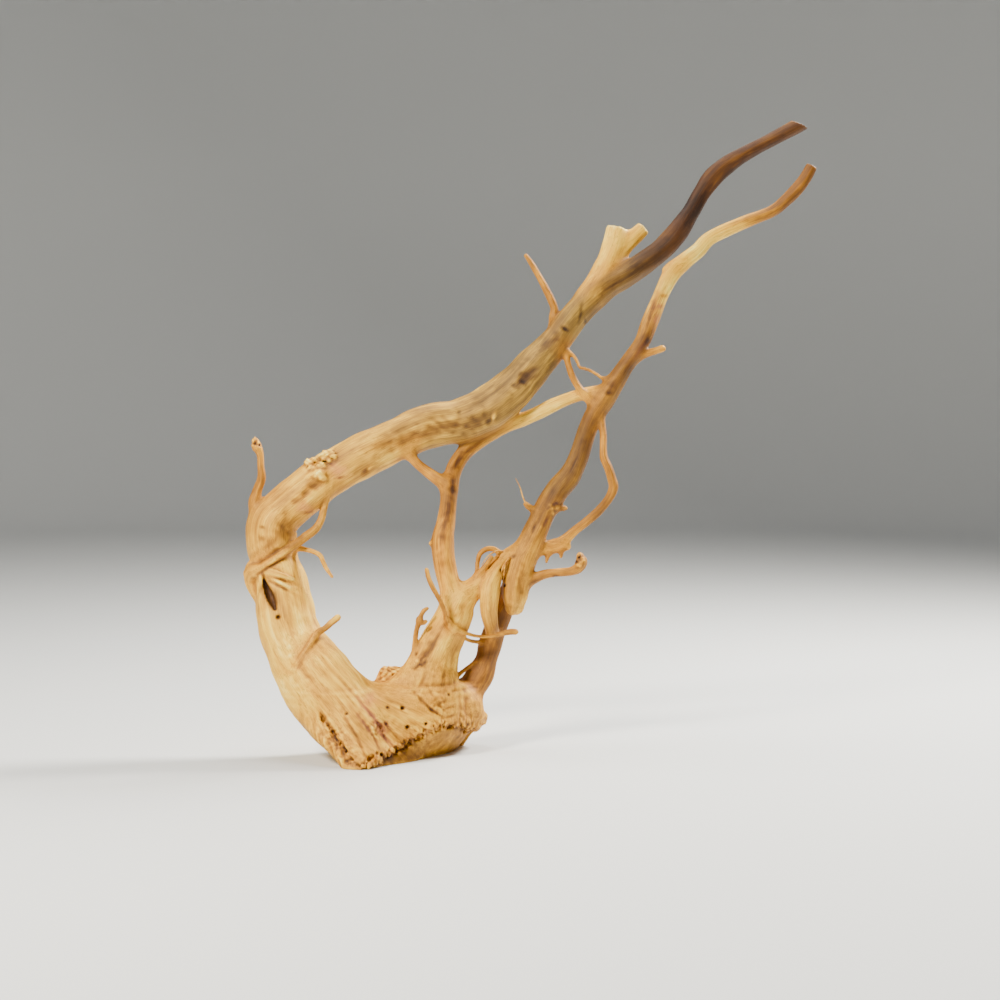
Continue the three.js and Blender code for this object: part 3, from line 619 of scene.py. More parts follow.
# %% The marks themselves
FRONT_MARKS = [
    # across, up, half length, half width, turn, depth (dents above zero), tone, warmth, blush
    # The arching limb: a knot like an eye, soft brown stains and a splinter.
    (83, 309.5, 6.5, 4, 35, 2, -0.5, 0.2, 0), (77, 304, 4.5, 2.4, 50, 1, -0.32, 0.1, 0),
    (80, 315.5, 8, 2.6, 42, -1.2, 0.08, 0, 0), (99, 334.5, 7, 3.6, 42, 0.6, -0.26, 0.1, 0),
    (113.3, 346, 2.4, 1.3, 150, 0.8, -0.5, 0, 0), (106, 340, 6, 2, 50, 0.4, -0.16, 0, 0),
    (125, 358, 6, 1, 80, 0.5, -0.36, 0, 0), (129, 351, 4, 0.9, 105, 0.4, -0.3, 0, 0),
    (57.6, 278, 3.4, 1.7, 70, -2, 0.2, 0.3, 0), (54, 274.5, 3.6, 1.8, 50, 1, -0.36, 0, 0),
    (45, 273, 9, 4.4, 40, 0.8, -0.3, 0.1, 0), (30.6, 281.4, 2, 1.2, 60, 0.5, -0.35, 0, 0),
    (8, 266, 20, 5, 22, 0.9, -0.3, 0.15, 0), (27, 271.5, 12, 3.6, 8, 0.7, -0.22, 0.1, 0),
    (-14, 259, 14, 3.6, 24, 0.5, -0.14, 0.1, 0), (-32, 256, 12, 3.4, 28, 0.4, -0.2, 0.1, 0),
    (62, 292, 12, 3, 45, 0.5, -0.14, 0, 0), (96, 346, 15, 2, 48, -0.5, 0.3, -0.2, 0),
    (136, 374, 7, 3, 35, 0.8, 0.2, 0, 0), (129, 348, 6, 3, 50, -1.2, 0.34, 0, 0),
    (150, 380, 12, 2, 33, 0.3, -0.2, 0.1, 0), (-42.7, 236, 3.2, 2.2, 40, 1, -0.3, 0.2, 0),
    (-39.5, 237.5, 2, 1.4, 40, -0.8, 0.1, 0.2, 0), (-20, 247, 16, 3, 26, -0.4, 0.06, 0, 0),
    # The burl on the limb's shoulder: rough lumps, a pale knot and the hollow below it.
    (-86, 243, 3.6, 2.8, 30, -2.2, 0.2, 0.2, 0), (-81.5, 246, 3.2, 2.8, 20, -2.6, 0.24, 0.15, 0),
    (-75, 247.5, 3.4, 2.8, 10, -2.4, 0.2, 0.3, 0), (-69, 246.5, 3, 2.4, 0, -1.8, 0.18, 0.5, 0),
    (-79, 243.4, 6, 0.9, 20, 1, -0.38, 0.2, 0), (-72.5, 242.6, 5, 0.9, 150, 0.9, -0.34, 0.2, 0),
    (-84.5, 239, 4, 0.9, 60, 0.8, -0.3, 0.2, 0), (-66, 242.5, 4, 0.9, 30, 0.7, -0.3, 0.3, 0),
    (-78.4, 233.5, 6.4, 5.6, 35, -3.4, 0.18, 0.1, 0), (-85, 231.5, 3.4, 2, 20, -1.2, 0.1, 0.1, 0),
    (-81.5, 224.5, 5.4, 3.4, 35, 2, -0.3, 0.4, 0), (-89, 218.5, 8, 2.8, 50, 1.2, -0.24, 0.3, 0),
    (-95.5, 213.5, 5, 2.6, 50, 0.8, -0.22, 0.1, 0), (-90.5, 206.8, 6, 3.6, 15, -0.8, -0.12, 0, 0.8),
    (-88, 203.4, 4.4, 0.9, 12, 0.5, -0.26, 0, 0.3), (-64, 235.5, 6.5, 5, 0, -0.5, 0.08, 0, 1),
    (-62.5, 230.6, 3, 0.9, 15, 0.7, -0.44, 0, 0.3),
    # The knee and the limb below it.
    (-120, 168, 9, 6.5, 20, 0.2, -0.08, 0.8, 0), (-106, 190, 16, 5.6, 48, 0.5, -0.2, 0.1, 0),
    (-98, 181, 8, 4, 40, 0.4, -0.14, 0.1, 0), (-117, 181, 7, 4, 60, 0.5, -0.14, 0.2, 0),
    # Along the wrap root: a dark groove on its upper edge, a painted shadow line along its lower
    # edge and a painted highlight down its middle. Below it, rootlet ridges are painted pale as
    # highlight, with painted shadow in the gaps between them.
    (-113, 171.8, 18, 1.4, 33, 1.5, -0.3, 0.1, 0), (-112, 164.2, 19, 1.2, 31, 1.5, -0.5, 0.2, 0),
    (-111, 168, 17, 1.6, 32, -0.9, 0.12, 0, 0), (-109.5, 153.4, 11, 1.2, 164, -1.2, 0.2, 0, 0),
    (-109.5, 150.8, 10, 1, 164, 1, -0.5, 0.2, 0), (-108.5, 147.6, 8, 1.2, 152, -1.2, 0.2, 0, 0),
    (-109, 145, 8, 1, 152, 1, -0.5, 0.2, 0), (-123.6, 148.5, 4.5, 1.2, 105, -1.2, 0.2, 0, 0),
    (-121.6, 150.5, 4, 0.9, 105, 0.8, -0.5, 0.2, 0), (-123, 192, 1.7, 0.9, 0, 0.3, -0.42, 0, 0),
    (-125, 183, 3, 1.6, 100, 0.4, -0.2, 0.1, 0),
    (-106, 198, 14, 2, 45, 0.4, -0.1, 0, 0), (-102, 108, 14, 3, 96, 0.5, -0.12, 0, 0),
    (-95, 122, 15, 4, 108, -0.6, 0.06, 0, 0), (-87, 72, 14, 4, 122, 0.7, -0.1, 0.2, 0),
    (-104, 140, 9, 2, 105, 0.4, -0.1, 0, 0), (-94, 84, 5, 1.2, 60, 0.5, -0.16, 0.3, 0),
    # The torn left side of the crown.
    (-76.8, 41.5, 5, 2.6, 112, 1.6, -0.4, 0.2, 0), (-79.5, 39.5, 6, 1.3, 115, -1.2, 0.1, 0.1, 0),
    (-69, 30.5, 5, 2.4, 122, 1.4, -0.34, 0.3, 0), (-67, 22, 9, 4.6, 125, 1.2, -0.26, 0.5, 0),
    (-60, 13.5, 8, 3.2, 133, 1.1, -0.26, 0.45, 0), (-73, 33, 5, 1.2, 118, -1.2, 0.12, 0.2, 0),
    (-64, 28.5, 6, 1.2, 120, -1, 0.1, 0.2, 0), (-56, 6.5, 6, 1.4, 145, 1, -0.4, 0.2, 0),
    # Streaks where the left limb's grain runs on down over the crown.
    (-31.4, 34.5, 6, 3.2, 125, 1.4, -0.5, 0, 1), (-26.8, 36.6, 3.2, 1.6, 120, 1, -0.4, 0, 0.6),
    (-29, 26.5, 8, 1.1, 122, 1, -0.36, 0, 0.8), (-24.5, 23.5, 6, 1, 125, 0.9, -0.3, 0, 0.6),
    (-36, 41, 11, 1.1, 130, 1, -0.32, 0, 0.9), (-41, 47.5, 12, 1.2, 130, 0.8, -0.24, 0, 0.9),
    (-45, 38, 13, 1.1, 126, 0.8, -0.24, 0.2, 0.5), (-39, 30, 11, 1, 122, 0.8, -0.22, 0.3, 0.3),
    (-52, 30, 13, 1.1, 120, 0.8, -0.18, 0.4, 0), (-58, 40, 13, 1.2, 120, 0.7, -0.14, 0.4, 0),
    (-47, 19, 9, 1.1, 116, 0.8, -0.2, 0.4, 0), (-40, 56, 8, 5, 60, 0.3, -0.1, 0, 0.9),
    (-20, 28, 7, 1, 130, 0.7, -0.22, 0.3, 0), (-34, 20, 8, 1, 118, 0.7, -0.2, 0.4, 0),
    (-62, 52, 16, 1.2, 122, 0.5, -0.12, 0.3, 0), (-54, 62, 15, 1.1, 130, 0.4, -0.1, 0.2, 0),
    (-17, 42, 9, 5.5, 140, -0.8, 0.14, -0.2, 0),
    # Wrinkles below the middle arm.
    (11, 51, 14, 8, 0, 0.2, -0.14, 0.3, 0), (5, 52, 8, 1, 140, 0.8, -0.26, 0.2, 0),
    (9, 48, 8, 1, 146, 0.8, -0.26, 0.2, 0), (14, 45, 7, 1, 150, 0.8, -0.26, 0.2, 0),
    (-1, 58, 8, 1, 134, 0.7, -0.2, 0.2, 0), (15, 52.5, 5, 1, 30, 0.8, -0.24, 0.3, 0),
    (20.5, 49, 6, 1, 22, 0.8, -0.24, 0.3, 0), (16.5, 57, 4, 2.6, 20, -1, -0.04, 0.3, 0),
    (9.5, 57.5, 2.6, 2, 0, -1, 0.02, 0.2, 0), (23, 43, 7, 1, 15, 0.8, -0.2, 0.3, 0),
    (35.5, 50, 10, 1.9, 95, 1.2, -0.2, 0.9, 0), (31, 52, 9, 1.3, 90, 0.8, -0.14, 0.7, 0),
    (39, 44, 7, 1.2, 100, 0.8, -0.12, 0.7, 0), (20, 68, 8, 7, 0, 0.4, -0.18, 0.2, 0),
    (13, 72, 20, 4.5, 0, -1.2, 0, 0, 0), (14, 66, 24, 3.2, 0, 1.1, 0, 0, 0),
    (8, 62, 7, 1.3, 118, 0.8, -0.2, 0.2, 0), (18, 74, 8, 1.3, 76, 0.7, -0.2, 0.2, 0),
    (27, 70, 8, 1.3, 84, 0.7, -0.2, 0.3, 0), (1, 70, 9, 1.3, 60, 0.7, -0.18, 0.2, 0),
    # The middle arm's dark stripe and its rough knot.
    (10, 100, 18, 3, 57, 1.2, -0.36, 0.2, 0), (2, 87, 8, 4, 62, 0.8, -0.3, 0.2, 0),
    (0.5, 88.5, 3, 2.6, 0, -1.6, 0.05, 0.3, 0), (-3.2, 92, 1.7, 1, 60, 1, -0.5, 0.1, 0),
    (2.6, 85, 1.9, 1.1, 20, 1, -0.5, 0.1, 0), (-3, 82, 2, 1, 60, 0.8, -0.42, 0.1, 0),
    (25, 92, 16, 3.6, 80, 0.8, -0.1, 0.2, 0), (15, 77, 9, 5, 70, -0.8, 0.05, 0.3, 0),
    (33, 128, 8, 2.4, 68, 1, -0.12, 0.2, 0), (27, 112, 14, 2.6, 64, -0.6, 0.08, 0, 0),
    # The shoulder, the branch and the twigs.
    (105.7, 210, 2.8, 1.5, 20, 0.7, -0.55, 0, 0.2), (98.5, 196.7, 4.5, 1.4, 65, 0.6, -0.42, 0, 0.3),
    (89, 192, 3.4, 1.2, 65, 0.5, -0.38, 0, 0), (73, 169, 2, 1.2, 60, 0.5, -0.4, 0, 0),
    (79.6, 140.5, 2.4, 1.4, 0, 0.4, -0.24, 0, 0), (78, 150, 12, 2.2, 80, 0.8, -0.12, 0.2, 0),
    (120, 240, 16, 2, 66, 0.6, -0.12, 0, 0), (147, 297, 3, 2, 40, 0.7, -0.4, 0, 0),
    (112, 222, 12, 2.4, 58, 0.4, -0.14, 0, 0), (150, 303, 5, 2.6, 55, 0.5, -0.22, 0.1, 0),
    (106.5, 153, 2, 1.2, 10, 0.3, -0.55, 0, 0), (89, 149, 4, 1.4, 30, 0.4, -0.38, 0.4, 0),
    (181, 362, 14, 1.5, 72, 0.3, -0.46, 0.9, 0), (186.5, 364, 2.6, 2, 0, 0.3, -0.24, 0, 1),
    (184, 354, 6, 2.6, 72, 0, -0.1, 0, 0.9), (177.5, 337, 3.4, 2.6, 50, 0.4, -0.4, 0.1, 0),
    (190, 372, 2, 1.2, 0, 0.3, -0.3, 0.3, 0), (171, 330, 9, 2.4, 55, 0.2, -0.2, 0, 0.3),
    # The riser's dark stripe.
    (25.6, 226, 15, 1.8, 86, 0.7, -0.5, 0.5, 0), (28.6, 242, 8, 1.9, 62, 0.6, -0.42, 0.5, 0),
    (40, 253, 10, 1.5, 33, 0.4, -0.34, 0.5, 0), (22, 204, 12, 1.9, 82, 0.6, -0.4, 0.6, 0),
    (18.5, 186, 12, 2.2, 88, 0.5, -0.26, 0.6, 0), (16.5, 168, 12, 2.4, 92, 0.5, -0.16, 0.5, 0),
    # The sawn face below the torn edge.
    (-22, 12.5, 14, 3.6, 32, 0.5, -0.34, 0.2, 0), (-9, 20, 6, 3, 40, 0.4, -0.3, 0.2, 0),
    (6, 21, 2, 8, 20, 0.2, -0.14, 0.1, 0), (-3, 12, 16, 3, 22, 0, -0.16, 0.4, 0),
]
BACK_MARKS = [
    (-60, 240, 9, 6, 30, 2.0, -0.34, 0.2, 0), (-100, 140, 14, 5, 100, 1.8, -0.2, 0.3, 0),
    (20, 276, 22, 5, 15, 1.6, -0.16, 0.2, 0), (92, 322, 6, 4, 50, 1.8, -0.4, 0.1, 0),
    (-40, 50, 18, 6, 20, 2.2, -0.2, 0.4, 0), (-10, 40, 7, 5, 0, 2.4, -0.42, 0.3, 0),
    (20, 62, 12, 4, 60, 1.6, -0.16, 0.4, 0), (-70, 60, 16, 5, 125, 1.6, -0.14, 0.3, 0),
    (-115, 190, 12, 6, 60, 1.6, -0.2, 0.3, 0), (16, 100, 14, 4, 65, 1.4, -0.18, 0.3, 0),
    (100, 212, 12, 3, 64, 1.0, -0.14, 0, 0), (-25, 60, 9, 6, 0, -2.2, 0.1, 0, 0),
    (-30, 258, 7, 5, 20, -2.4, 0.08, 0.2, 0), (55, 288, 5, 3.6, 30, 1.4, -0.36, 0, 0),
    (-30, 22, 12, 1.4, 20, 1.1, -0.36, 0.3, 0), (-5, 27, 14, 1.3, 12, 1.1, -0.34, 0.3, 0),
    (22, 24, 12, 1.3, -8, 1.1, -0.34, 0.3, 0), (-50, 34, 14, 1.4, 128, 1, -0.32, 0.3, 0),
    (-62, 60, 18, 1.4, 122, 0.9, -0.28, 0.2, 0), (5, 46, 9, 1.3, 60, 0.9, -0.32, 0.3, 0),
    (30, 44, 9, 1.3, 95, 1, -0.32, 0.4, 0), (12, 80, 14, 1.3, 62, 0.8, -0.28, 0.2, 0),
    (-104, 160, 14, 1.4, 100, 0.8, -0.3, 0.2, 0), (-108, 210, 14, 1.4, 65, 0.8, -0.3, 0.2, 0),
    (-5, 262, 20, 1.3, 18, 0.8, -0.28, 0.2, 0), (70, 302, 16, 1.3, 42, 0.8, -0.28, 0.2, 0),
    (130, 350, 14, 1.3, 50, 0.7, -0.26, 0.2, 0), (110, 232, 16, 1.2, 62, 0.6, -0.26, 0.2, 0),
    (22, 200, 14, 1.2, 84, 0.6, -0.32, 0.4, 0), (-16, 14, 10, 1.3, 4, 1, -0.34, 0.4, 0),
    (-84, 96, 16, 1.3, 116, 0.8, -0.26, 0.2, 0), (-92, 120, 12, 1.3, 104, 0.8, -0.28, 0.2, 0),
]
PINHOLES = [  # across, up, radius
    (-111.3, 121.2, 1.6), (-10.5, 34.2, 1.7), (-14.2, 49.3, 1.5), (4.1, 37, 1.2), (63.7, 158, 1.5),
    (65, 152, 1.5), (66, 146, 1.1), (125, 167.5, 1.5), (122.5, 164.5, 1.2), (-128, 257.5, 1.3),
    (-125, 256, 1.1), (-26, 50, 0.8), (22, 60, 0.8), (-58, 45, 0.8),
]
TORN_PITS = [  # across, up, half length, half width, turn, depth
    (-38.7, 9.7, 5, 3, 15, 4), (-43.5, 5.5, 3, 1.8, -20, 3), (-34, 13.8, 2.2, 1.3, 30, 2.5),
    (-30.2, 12.6, 2.4, 1.8, 20, 3), (-24.5, 15.8, 2, 1, 45, 2.2), (-18.9, 18.5, 2.8, 1.5, 35, 3),
    (-14.4, 21.2, 1.6, 1, 20, 2.2), (-10.3, 23.6, 4.8, 2.6, 28, 4), (-5.2, 26, 1.5, 1, 0, 2.2),
    (-0.6, 27.8, 2.7, 2, 35, 3.5), (3.2, 31.6, 1.8, 1.3, 60, 2.6), (9.3, 34.4, 1.8, 1.1, 0, 2.2),
    (14.2, 34.7, 3.6, 2, 25, 3), (18.2, 37.2, 1.8, 1.2, 45, 2.2), (23, 36, 1.6, 1, 0, 2.2),
    (27.5, 37.6, 2.4, 1, 20, 2.2), (36, 36, 2, 1, 60, 2), (41.5, 32.6, 2.8, 1.4, 15, 2.6),
    (-31.4, 34.6, 4.8, 1.9, 125, 3), (-26.9, 36.6, 2.2, 1.1, 118, 2.2), (-28.5, 27, 3, 0.9, 122, 2),
    (-76.8, 41.5, 5.5, 1.5, 112, 2), (-73, 36, 4, 1, 120, 1.5), (-69, 30.5, 5, 1.4, 124, 1.9),
    (-64.5, 23.5, 6, 1.6, 127, 2), (-59.5, 16.5, 5, 1.3, 130, 1.7), (-54.5, 9.5, 4.4, 1.3, 137, 1.7),
    (-49.5, 4.6, 3, 1.1, 145, 1.6),
]
KNOBS = [  # across, up, radius: the burl on the left limb's shoulder, and the curled twig's end
    (-87, 243, 2.4), (-83.5, 246.5, 2.8), (-79.5, 249, 2.4), (-75, 247.5, 2.8), (-71, 249.5, 2.3),
    (-67.5, 247.5, 2), (-80, 243.3, 2.5), (-84.5, 238.5, 2), (-76.5, 240.5, 2.6), (-79.5, 234, 3.4),
    (-76, 230.5, 2.4), (-71.5, 244, 2.1), (122, 168, 1.9), (126.5, 166, 2), (124.5, 162.5, 1.8),
]
LUMPS = [  # across, up, radius, height: places where the skin is gnarled
    (-80, 246, 8, 2.3), (-72, 248, 7, 2.1), (0.5, 87.5, 5, 0.8), (14, 50, 7, 0.5),
    (-67, 26, 9, 0.5), (-27, 77, 8, 1.5), (-19, 78, 6, 1.3), (-56, 12, 8, 0.5),
    (-35, 33, 8, 0.6), (57, 37, 9, 1.6), (45, 32, 7, 1.2), (104, 206, 6, 0.5),
    (296, 492, 9, 0.9), (280, 484, 9, 0.7), (-128, 258, 5, 0.8),
]
# Two lines on the drawing: the torn grain down the crown's left side, and the rounded edge
# where the sheet of torn grain stands out from the left limb.
TORN_SIDE = [(-80, 48), (-77, 41), (-70, 31), (-64, 22.5), (-58, 14), (-51, 6), (-45, 2)]
SHEET_EDGE = [(-103, 108), (-101, 97), (-99, 87), (-96, 77), (-92, 68), (-87, 58), (-82, 48)]
SLIT = [  # across, up, half width: the knothole below the rootlets
    (-122.3, 149.5, 1.4), (-120, 143.5, 2.8), (-117, 136.5, 3.5), (-113.8, 128, 1.5),
]
Mark = namedtuple("Mark", "centre across up length width turn depth tone warmth blush")
TornPit = namedtuple("TornPit", "centre across up length width turn depth")
Lump = namedtuple("Lump", "centre across up radius height")
Dot = namedtuple("Dot", "centre across up radius")


def set_in_the_wood(kind, rows, from_behind=False):
    """Each row with the place on the skin that it stands for, where the ray meets any."""
    found = [(skin_point(row[0], row[1], from_behind), row) for row in rows]
    return [kind(centre, *row) for centre, row in found if centre is not None]


marks = set_in_the_wood(Mark, FRONT_MARKS) + set_in_the_wood(Mark, BACK_MARKS, from_behind=True)
edge_across, edge_up = np.array(SHEET_EDGE, float).T
edge_turns = np.degrees(np.arctan2(np.diff(edge_up), np.diff(edge_across)))
marks += set_in_the_wood(Mark, [(*place, 8, 3.2, turn, -0.9, 0.05, 0, 0)
                                for place, turn in zip(SHEET_EDGE, edge_turns)])
print("marks set:", len(marks))


# %% Press the marks into the field
MARK_SINKS = 2.2  # how far a mark holds behind the skin, in its own half widths
NARROWEST = 2.5  # a narrower mark sinks in as if it were this wide
RAGGED_MARK, RAGGED_PIT, RAGGED_KNOB = 0.55, 0.4, 1.3
MARK_FADES = 2.2  # lengths from a mark's middle to where nothing is left of it
BALL_SHARE = 0.85
KNOB_JOIN = 3.4
HOLE_EDGE, PIT_EDGE, SLIT_EDGE = 1.0, 0.6, 0.8


def unevenness(points, size):
    """A wavy number between minus one and one, so that no mark is a perfect oval."""
    x, y, z = np.moveaxis(points / size, -1, 0)
    return (np.sin(1.7 * x + 2.1 * np.sin(0.9 * z + 0.4 * y))
            * np.sin(2.1 * z + 1.7 * np.sin(1.1 * y + 0.7 * x)))


def mark_strength(mark, points):
    """How strongly a mark holds at each point: one at its middle, fading to nothing."""
    across, up = drawn(points)
    long, wide = turned(across - mark.across, up - mark.up, mark.turn)
    deep = (points[..., 1] - mark.centre[1]) / (max(mark.width, NARROWEST) * MARK_SINKS)
    away = (long / mark.length) ** 2 + (wide / mark.width) ** 2 + deep ** 2
    return np.exp(-away * (1 + RAGGED_MARK * unevenness(points, 4.5)))


def pit_spread(pit, points, wider=0.0, deeper=0.0):
    """How far points are from a torn pit's middle, squared: one on the pit's rim."""
    away = points - pit.centre
    long, wide = turned(away[:, 0], away[:, 2], pit.turn)
    return ((long / (pit.length + wider)) ** 2 + (wide / (pit.width + wider)) ** 2
            + (away[:, 1] / (pit.depth + deeper)) ** 2)


def distance_from(centre, points, behind, stretch):
    """Distances from a place a little behind a centre, stretched along the three axes."""
    x, y, z = centre
    return np.linalg.norm((points - (x, y + behind, z)) * stretch, axis=1)


for mark in marks:
    block, points = cells_around(mark.centre, MARK_FADES * mark.length + 4)
    add_to_field(block, mark.depth * mark_strength(mark, points))

holes = set_in_the_wood(Dot, PINHOLES)
for hole in holes:
    block, points = cells_around(hole.centre, 6)
    hollow = hole.radius - distance_from(hole.centre, points, 0.4, (1, 0.55, 1))
    cut_from_field(block, hollow, HOLE_EDGE)

pits = set_in_the_wood(TornPit, TORN_PITS)
for pit in pits:
    block, points = cells_around(pit.centre, pit.length + 5)
    size = np.sqrt(pit_spread(pit, points)) + RAGGED_PIT * unevenness(points, 0.9)
    cut_from_field(block, (1 - size) * pit.width, PIT_EDGE)

knobs = set_in_the_wood(Dot, KNOBS)
for knob in knobs:
    block, points = cells_around(knob.centre, 7)
    ball = distance_from(knob.centre, points, 0.2 * knob.radius, (0.8, 1, 1.1))
    ball += RAGGED_KNOB * unevenness(points, 1.8) - knob.radius * BALL_SHARE
    field[block] = melted(field[block], ball.reshape(field[block].shape), KNOB_JOIN)

lumps = set_in_the_wood(Lump, LUMPS)
for lump in lumps:
    block, points = cells_around(lump.centre, 2 * lump.radius)
    fading = np.exp(-(np.linalg.norm(points - lump.centre, axis=1) / lump.radius) ** 4)
    add_to_field(block, -lump.height * fading * (unevenness(points, 2.1) + 0.3))

slit = smooth_line(np.array([(*skin_point(across, up), half) for across, up, half in SLIT]))
for *centre, half in slit[::2]:
    block, points = cells_between(np.array(centre) - 8, np.array(centre) + 10)
    hollow = half * 0.95 - distance_from(centre, points, 2.0, (1, 0.5, 1))
    cut_from_field(block, hollow, SLIT_EDGE)

# %% [markdown]
# ## The torn edge
# Where the crown was sawn off, the saw left a smooth pale face that slants in under a
# fringe of torn grain. The fringe is a line on the drawing. Below it the field is set
# back, just above it the skin stands out a little, and the line itself is jagged.

# %% Set the sawn face back under the torn edge
TORN_LINE = np.array([
    (-70, -4), (-50, 1), (-40, 4), (-31.5, 8.5), (-17, 19), (-5.3, 26), (5.5, 31), (19.8, 36.5),
    (33, 35.5), (41, 32), (52, 36), (70, 40),
])
SET_BACK, LIP = 3.4, 1.1  # how far the face goes back, and how far the edge over it stands out


def above_torn_line(points):
    """How far above the jagged edge points lie, below zero on the sawn face."""
    across, up = drawn(points)
    jagged = (2.6 * np.abs(np.sin(across * 0.37 + 0.7)) + 1.9 * np.abs(np.sin(across * 0.93 + 2))
              + 0.7 * np.sin(across * 2.7) - 2.6)
    return up - np.interp(across, TORN_LINE[:, 0], TORN_LINE[:, 1]) + jagged


def crown_front(points):
    """One on the crown's front, fading to nothing on its back and on the limbs."""
    side = crown_place(points)[1]
    across, up = drawn(points)
    facing = np.clip((6 - side) / 12, 0, 1)
    ends = np.clip((across + 50) / 12, 0, 1) * np.clip((62 - across) / 6, 0, 1)
    return facing * ends * np.clip((64 - up) / 14, 0, 1)


def smooth_rise(value):
    value = np.clip(value, 0, 1)
    return value * value * (3 - 2 * value)


block, points = cells_between(np.array([-60.0, -80.0, -4.0]), np.array([75.0, 40.0, 60.0]))
above = above_torn_line(points)
front = crown_front(points)
set_back = SET_BACK * smooth_rise(-above / 1.6) - LIP * np.exp(-((above - 1.5) / 2.4) ** 2)
add_to_field(block, set_back * front)

# Nothing reaches below the foot.
heights = grid_low[2] + CELL * np.arange(grid_shape[2])
field = np.maximum(field, -heights[None, None, :].astype(np.float32))

# %% [markdown]
# ## From the field to a mesh
# OpenVDB, which Blender carries for its volumes, walks the grid and lays four-sided faces
# along the skin. It gives far more faces than flat stretches need, so a Decimate modifier
# thins them, and its result becomes the plain mesh that everything after this works on.

# %% Lay the skin over the field
MOST_TRIANGLES = 192000


def one_body(points, faces):
    """The largest connected part of a mesh: crumbs that a groove cut loose are dropped."""
    label = np.arange(len(points))
    edges = np.vstack([faces[:, [k, (k + 1) % 4]] for k in range(4)])
    while True:
        lower = np.minimum(label[edges[:, 0]], label[edges[:, 1]])
        before = label.copy()
        np.minimum.at(label, edges[:, 0], lower)
        np.minimum.at(label, edges[:, 1], lower)
        label = label[label]
        if (label == before).all():
            break
    kept = label == np.bincount(label).argmax()
    renamed = np.cumsum(kept) - 1
    return points[kept], renamed[faces[kept[faces[:, 0]]]]


def mesh_object(name, points_mm, faces):
    mesh = bpy.data.meshes.new(name)
    mesh.from_pydata((points_mm * MM).tolist(), [], faces.tolist())
    mesh.update()
    made = bpy.data.objects.new(name, mesh)
    bpy.context.scene.collection.objects.link(made)
    return made


def finished_mesh(piece):
    """A plain mesh of what an object's modifiers make."""
    bpy.context.view_layer.update()
    return bpy.data.meshes.new_from_object(
        piece.evaluated_get(bpy.context.evaluated_depsgraph_get()))


def settle(piece):
    """Makes an object's finished mesh its own and drops its modifiers."""
    result = finished_mesh(piece)
    old = piece.data
    piece.modifiers.clear()
    piece.data = result
    result.name = piece.name
    bpy.data.meshes.remove(old)


FIELD_LIMIT = 8.0  # further from the skin than this, the field's value doesn't matter
volume = openvdb.FloatGrid(FIELD_LIMIT)
volume.copyFromArray(np.clip(field, -FIELD_LIMIT, FIELD_LIMIT))
cells, _, quads = volume.convertToPolygons(0.0, 0.0)
skin_points, quads = one_body(cells * CELL + grid_low, quads.astype(np.int64))
wood = mesh_object("driftwood", skin_points, quads)
thin = wood.modifiers.new("thin", "DECIMATE")
thin.ratio = min(1.0, MOST_TRIANGLES / (2 * len(quads)))
settle(wood)
print("skin:", len(quads), "quads, thinned to", len(wood.data.polygons), "faces,",
      round(time.time() - started, 1), "s")


# %% Measure the mesh
FOOT_FLAT = 0.7  # vertices this close to the floor are set down on it


def corners(piece):
    """Where the vertices are, in millimetres."""
    flat = np.empty(len(piece.data.vertices) * 3, np.float32)
    piece.data.vertices.foreach_get("co", flat)
    return flat.reshape(-1, 3) / MM


def vertex_normals(piece):
    flat = np.empty(len(piece.data.vertices) * 3, np.float32)
    piece.data.vertex_normals.foreach_get("vector", flat)
    return flat.reshape(-1, 3)


def keep(piece, name, values):
    """Stores one number or one vector for each vertex under a name."""
    kind = "FLOAT_VECTOR" if values.ndim == 2 else "FLOAT"
    layer = piece.data.attributes.new(name, kind, "POINT")
    layer.data.foreach_set("vector" if values.ndim == 2 else "value",
                           values.astype(np.float32).ravel())


def set_corners(piece, points_mm):
    piece.data.vertices.foreach_set("co", (points_mm * MM).astype(np.float32).ravel())
    piece.data.update()


at = corners(wood)
at[np.abs(at[:, 2]) < FOOT_FLAT, 2] = 0.0
set_corners(wood, at)
print("lowest and highest:", at.min(0).round(1), at.max(0).round(1))

# %% [markdown]
# ## Grain that follows the wood
# Every vertex now learns where it is on its limb: how far along, and how far off the middle
# line in two directions. A texture that reads these numbers runs along the limb and round
# its bends. At a crotch two limbs meet, and their numbers don't agree, so each vertex keeps
# three sets, one for each family, with the share that each family has there.

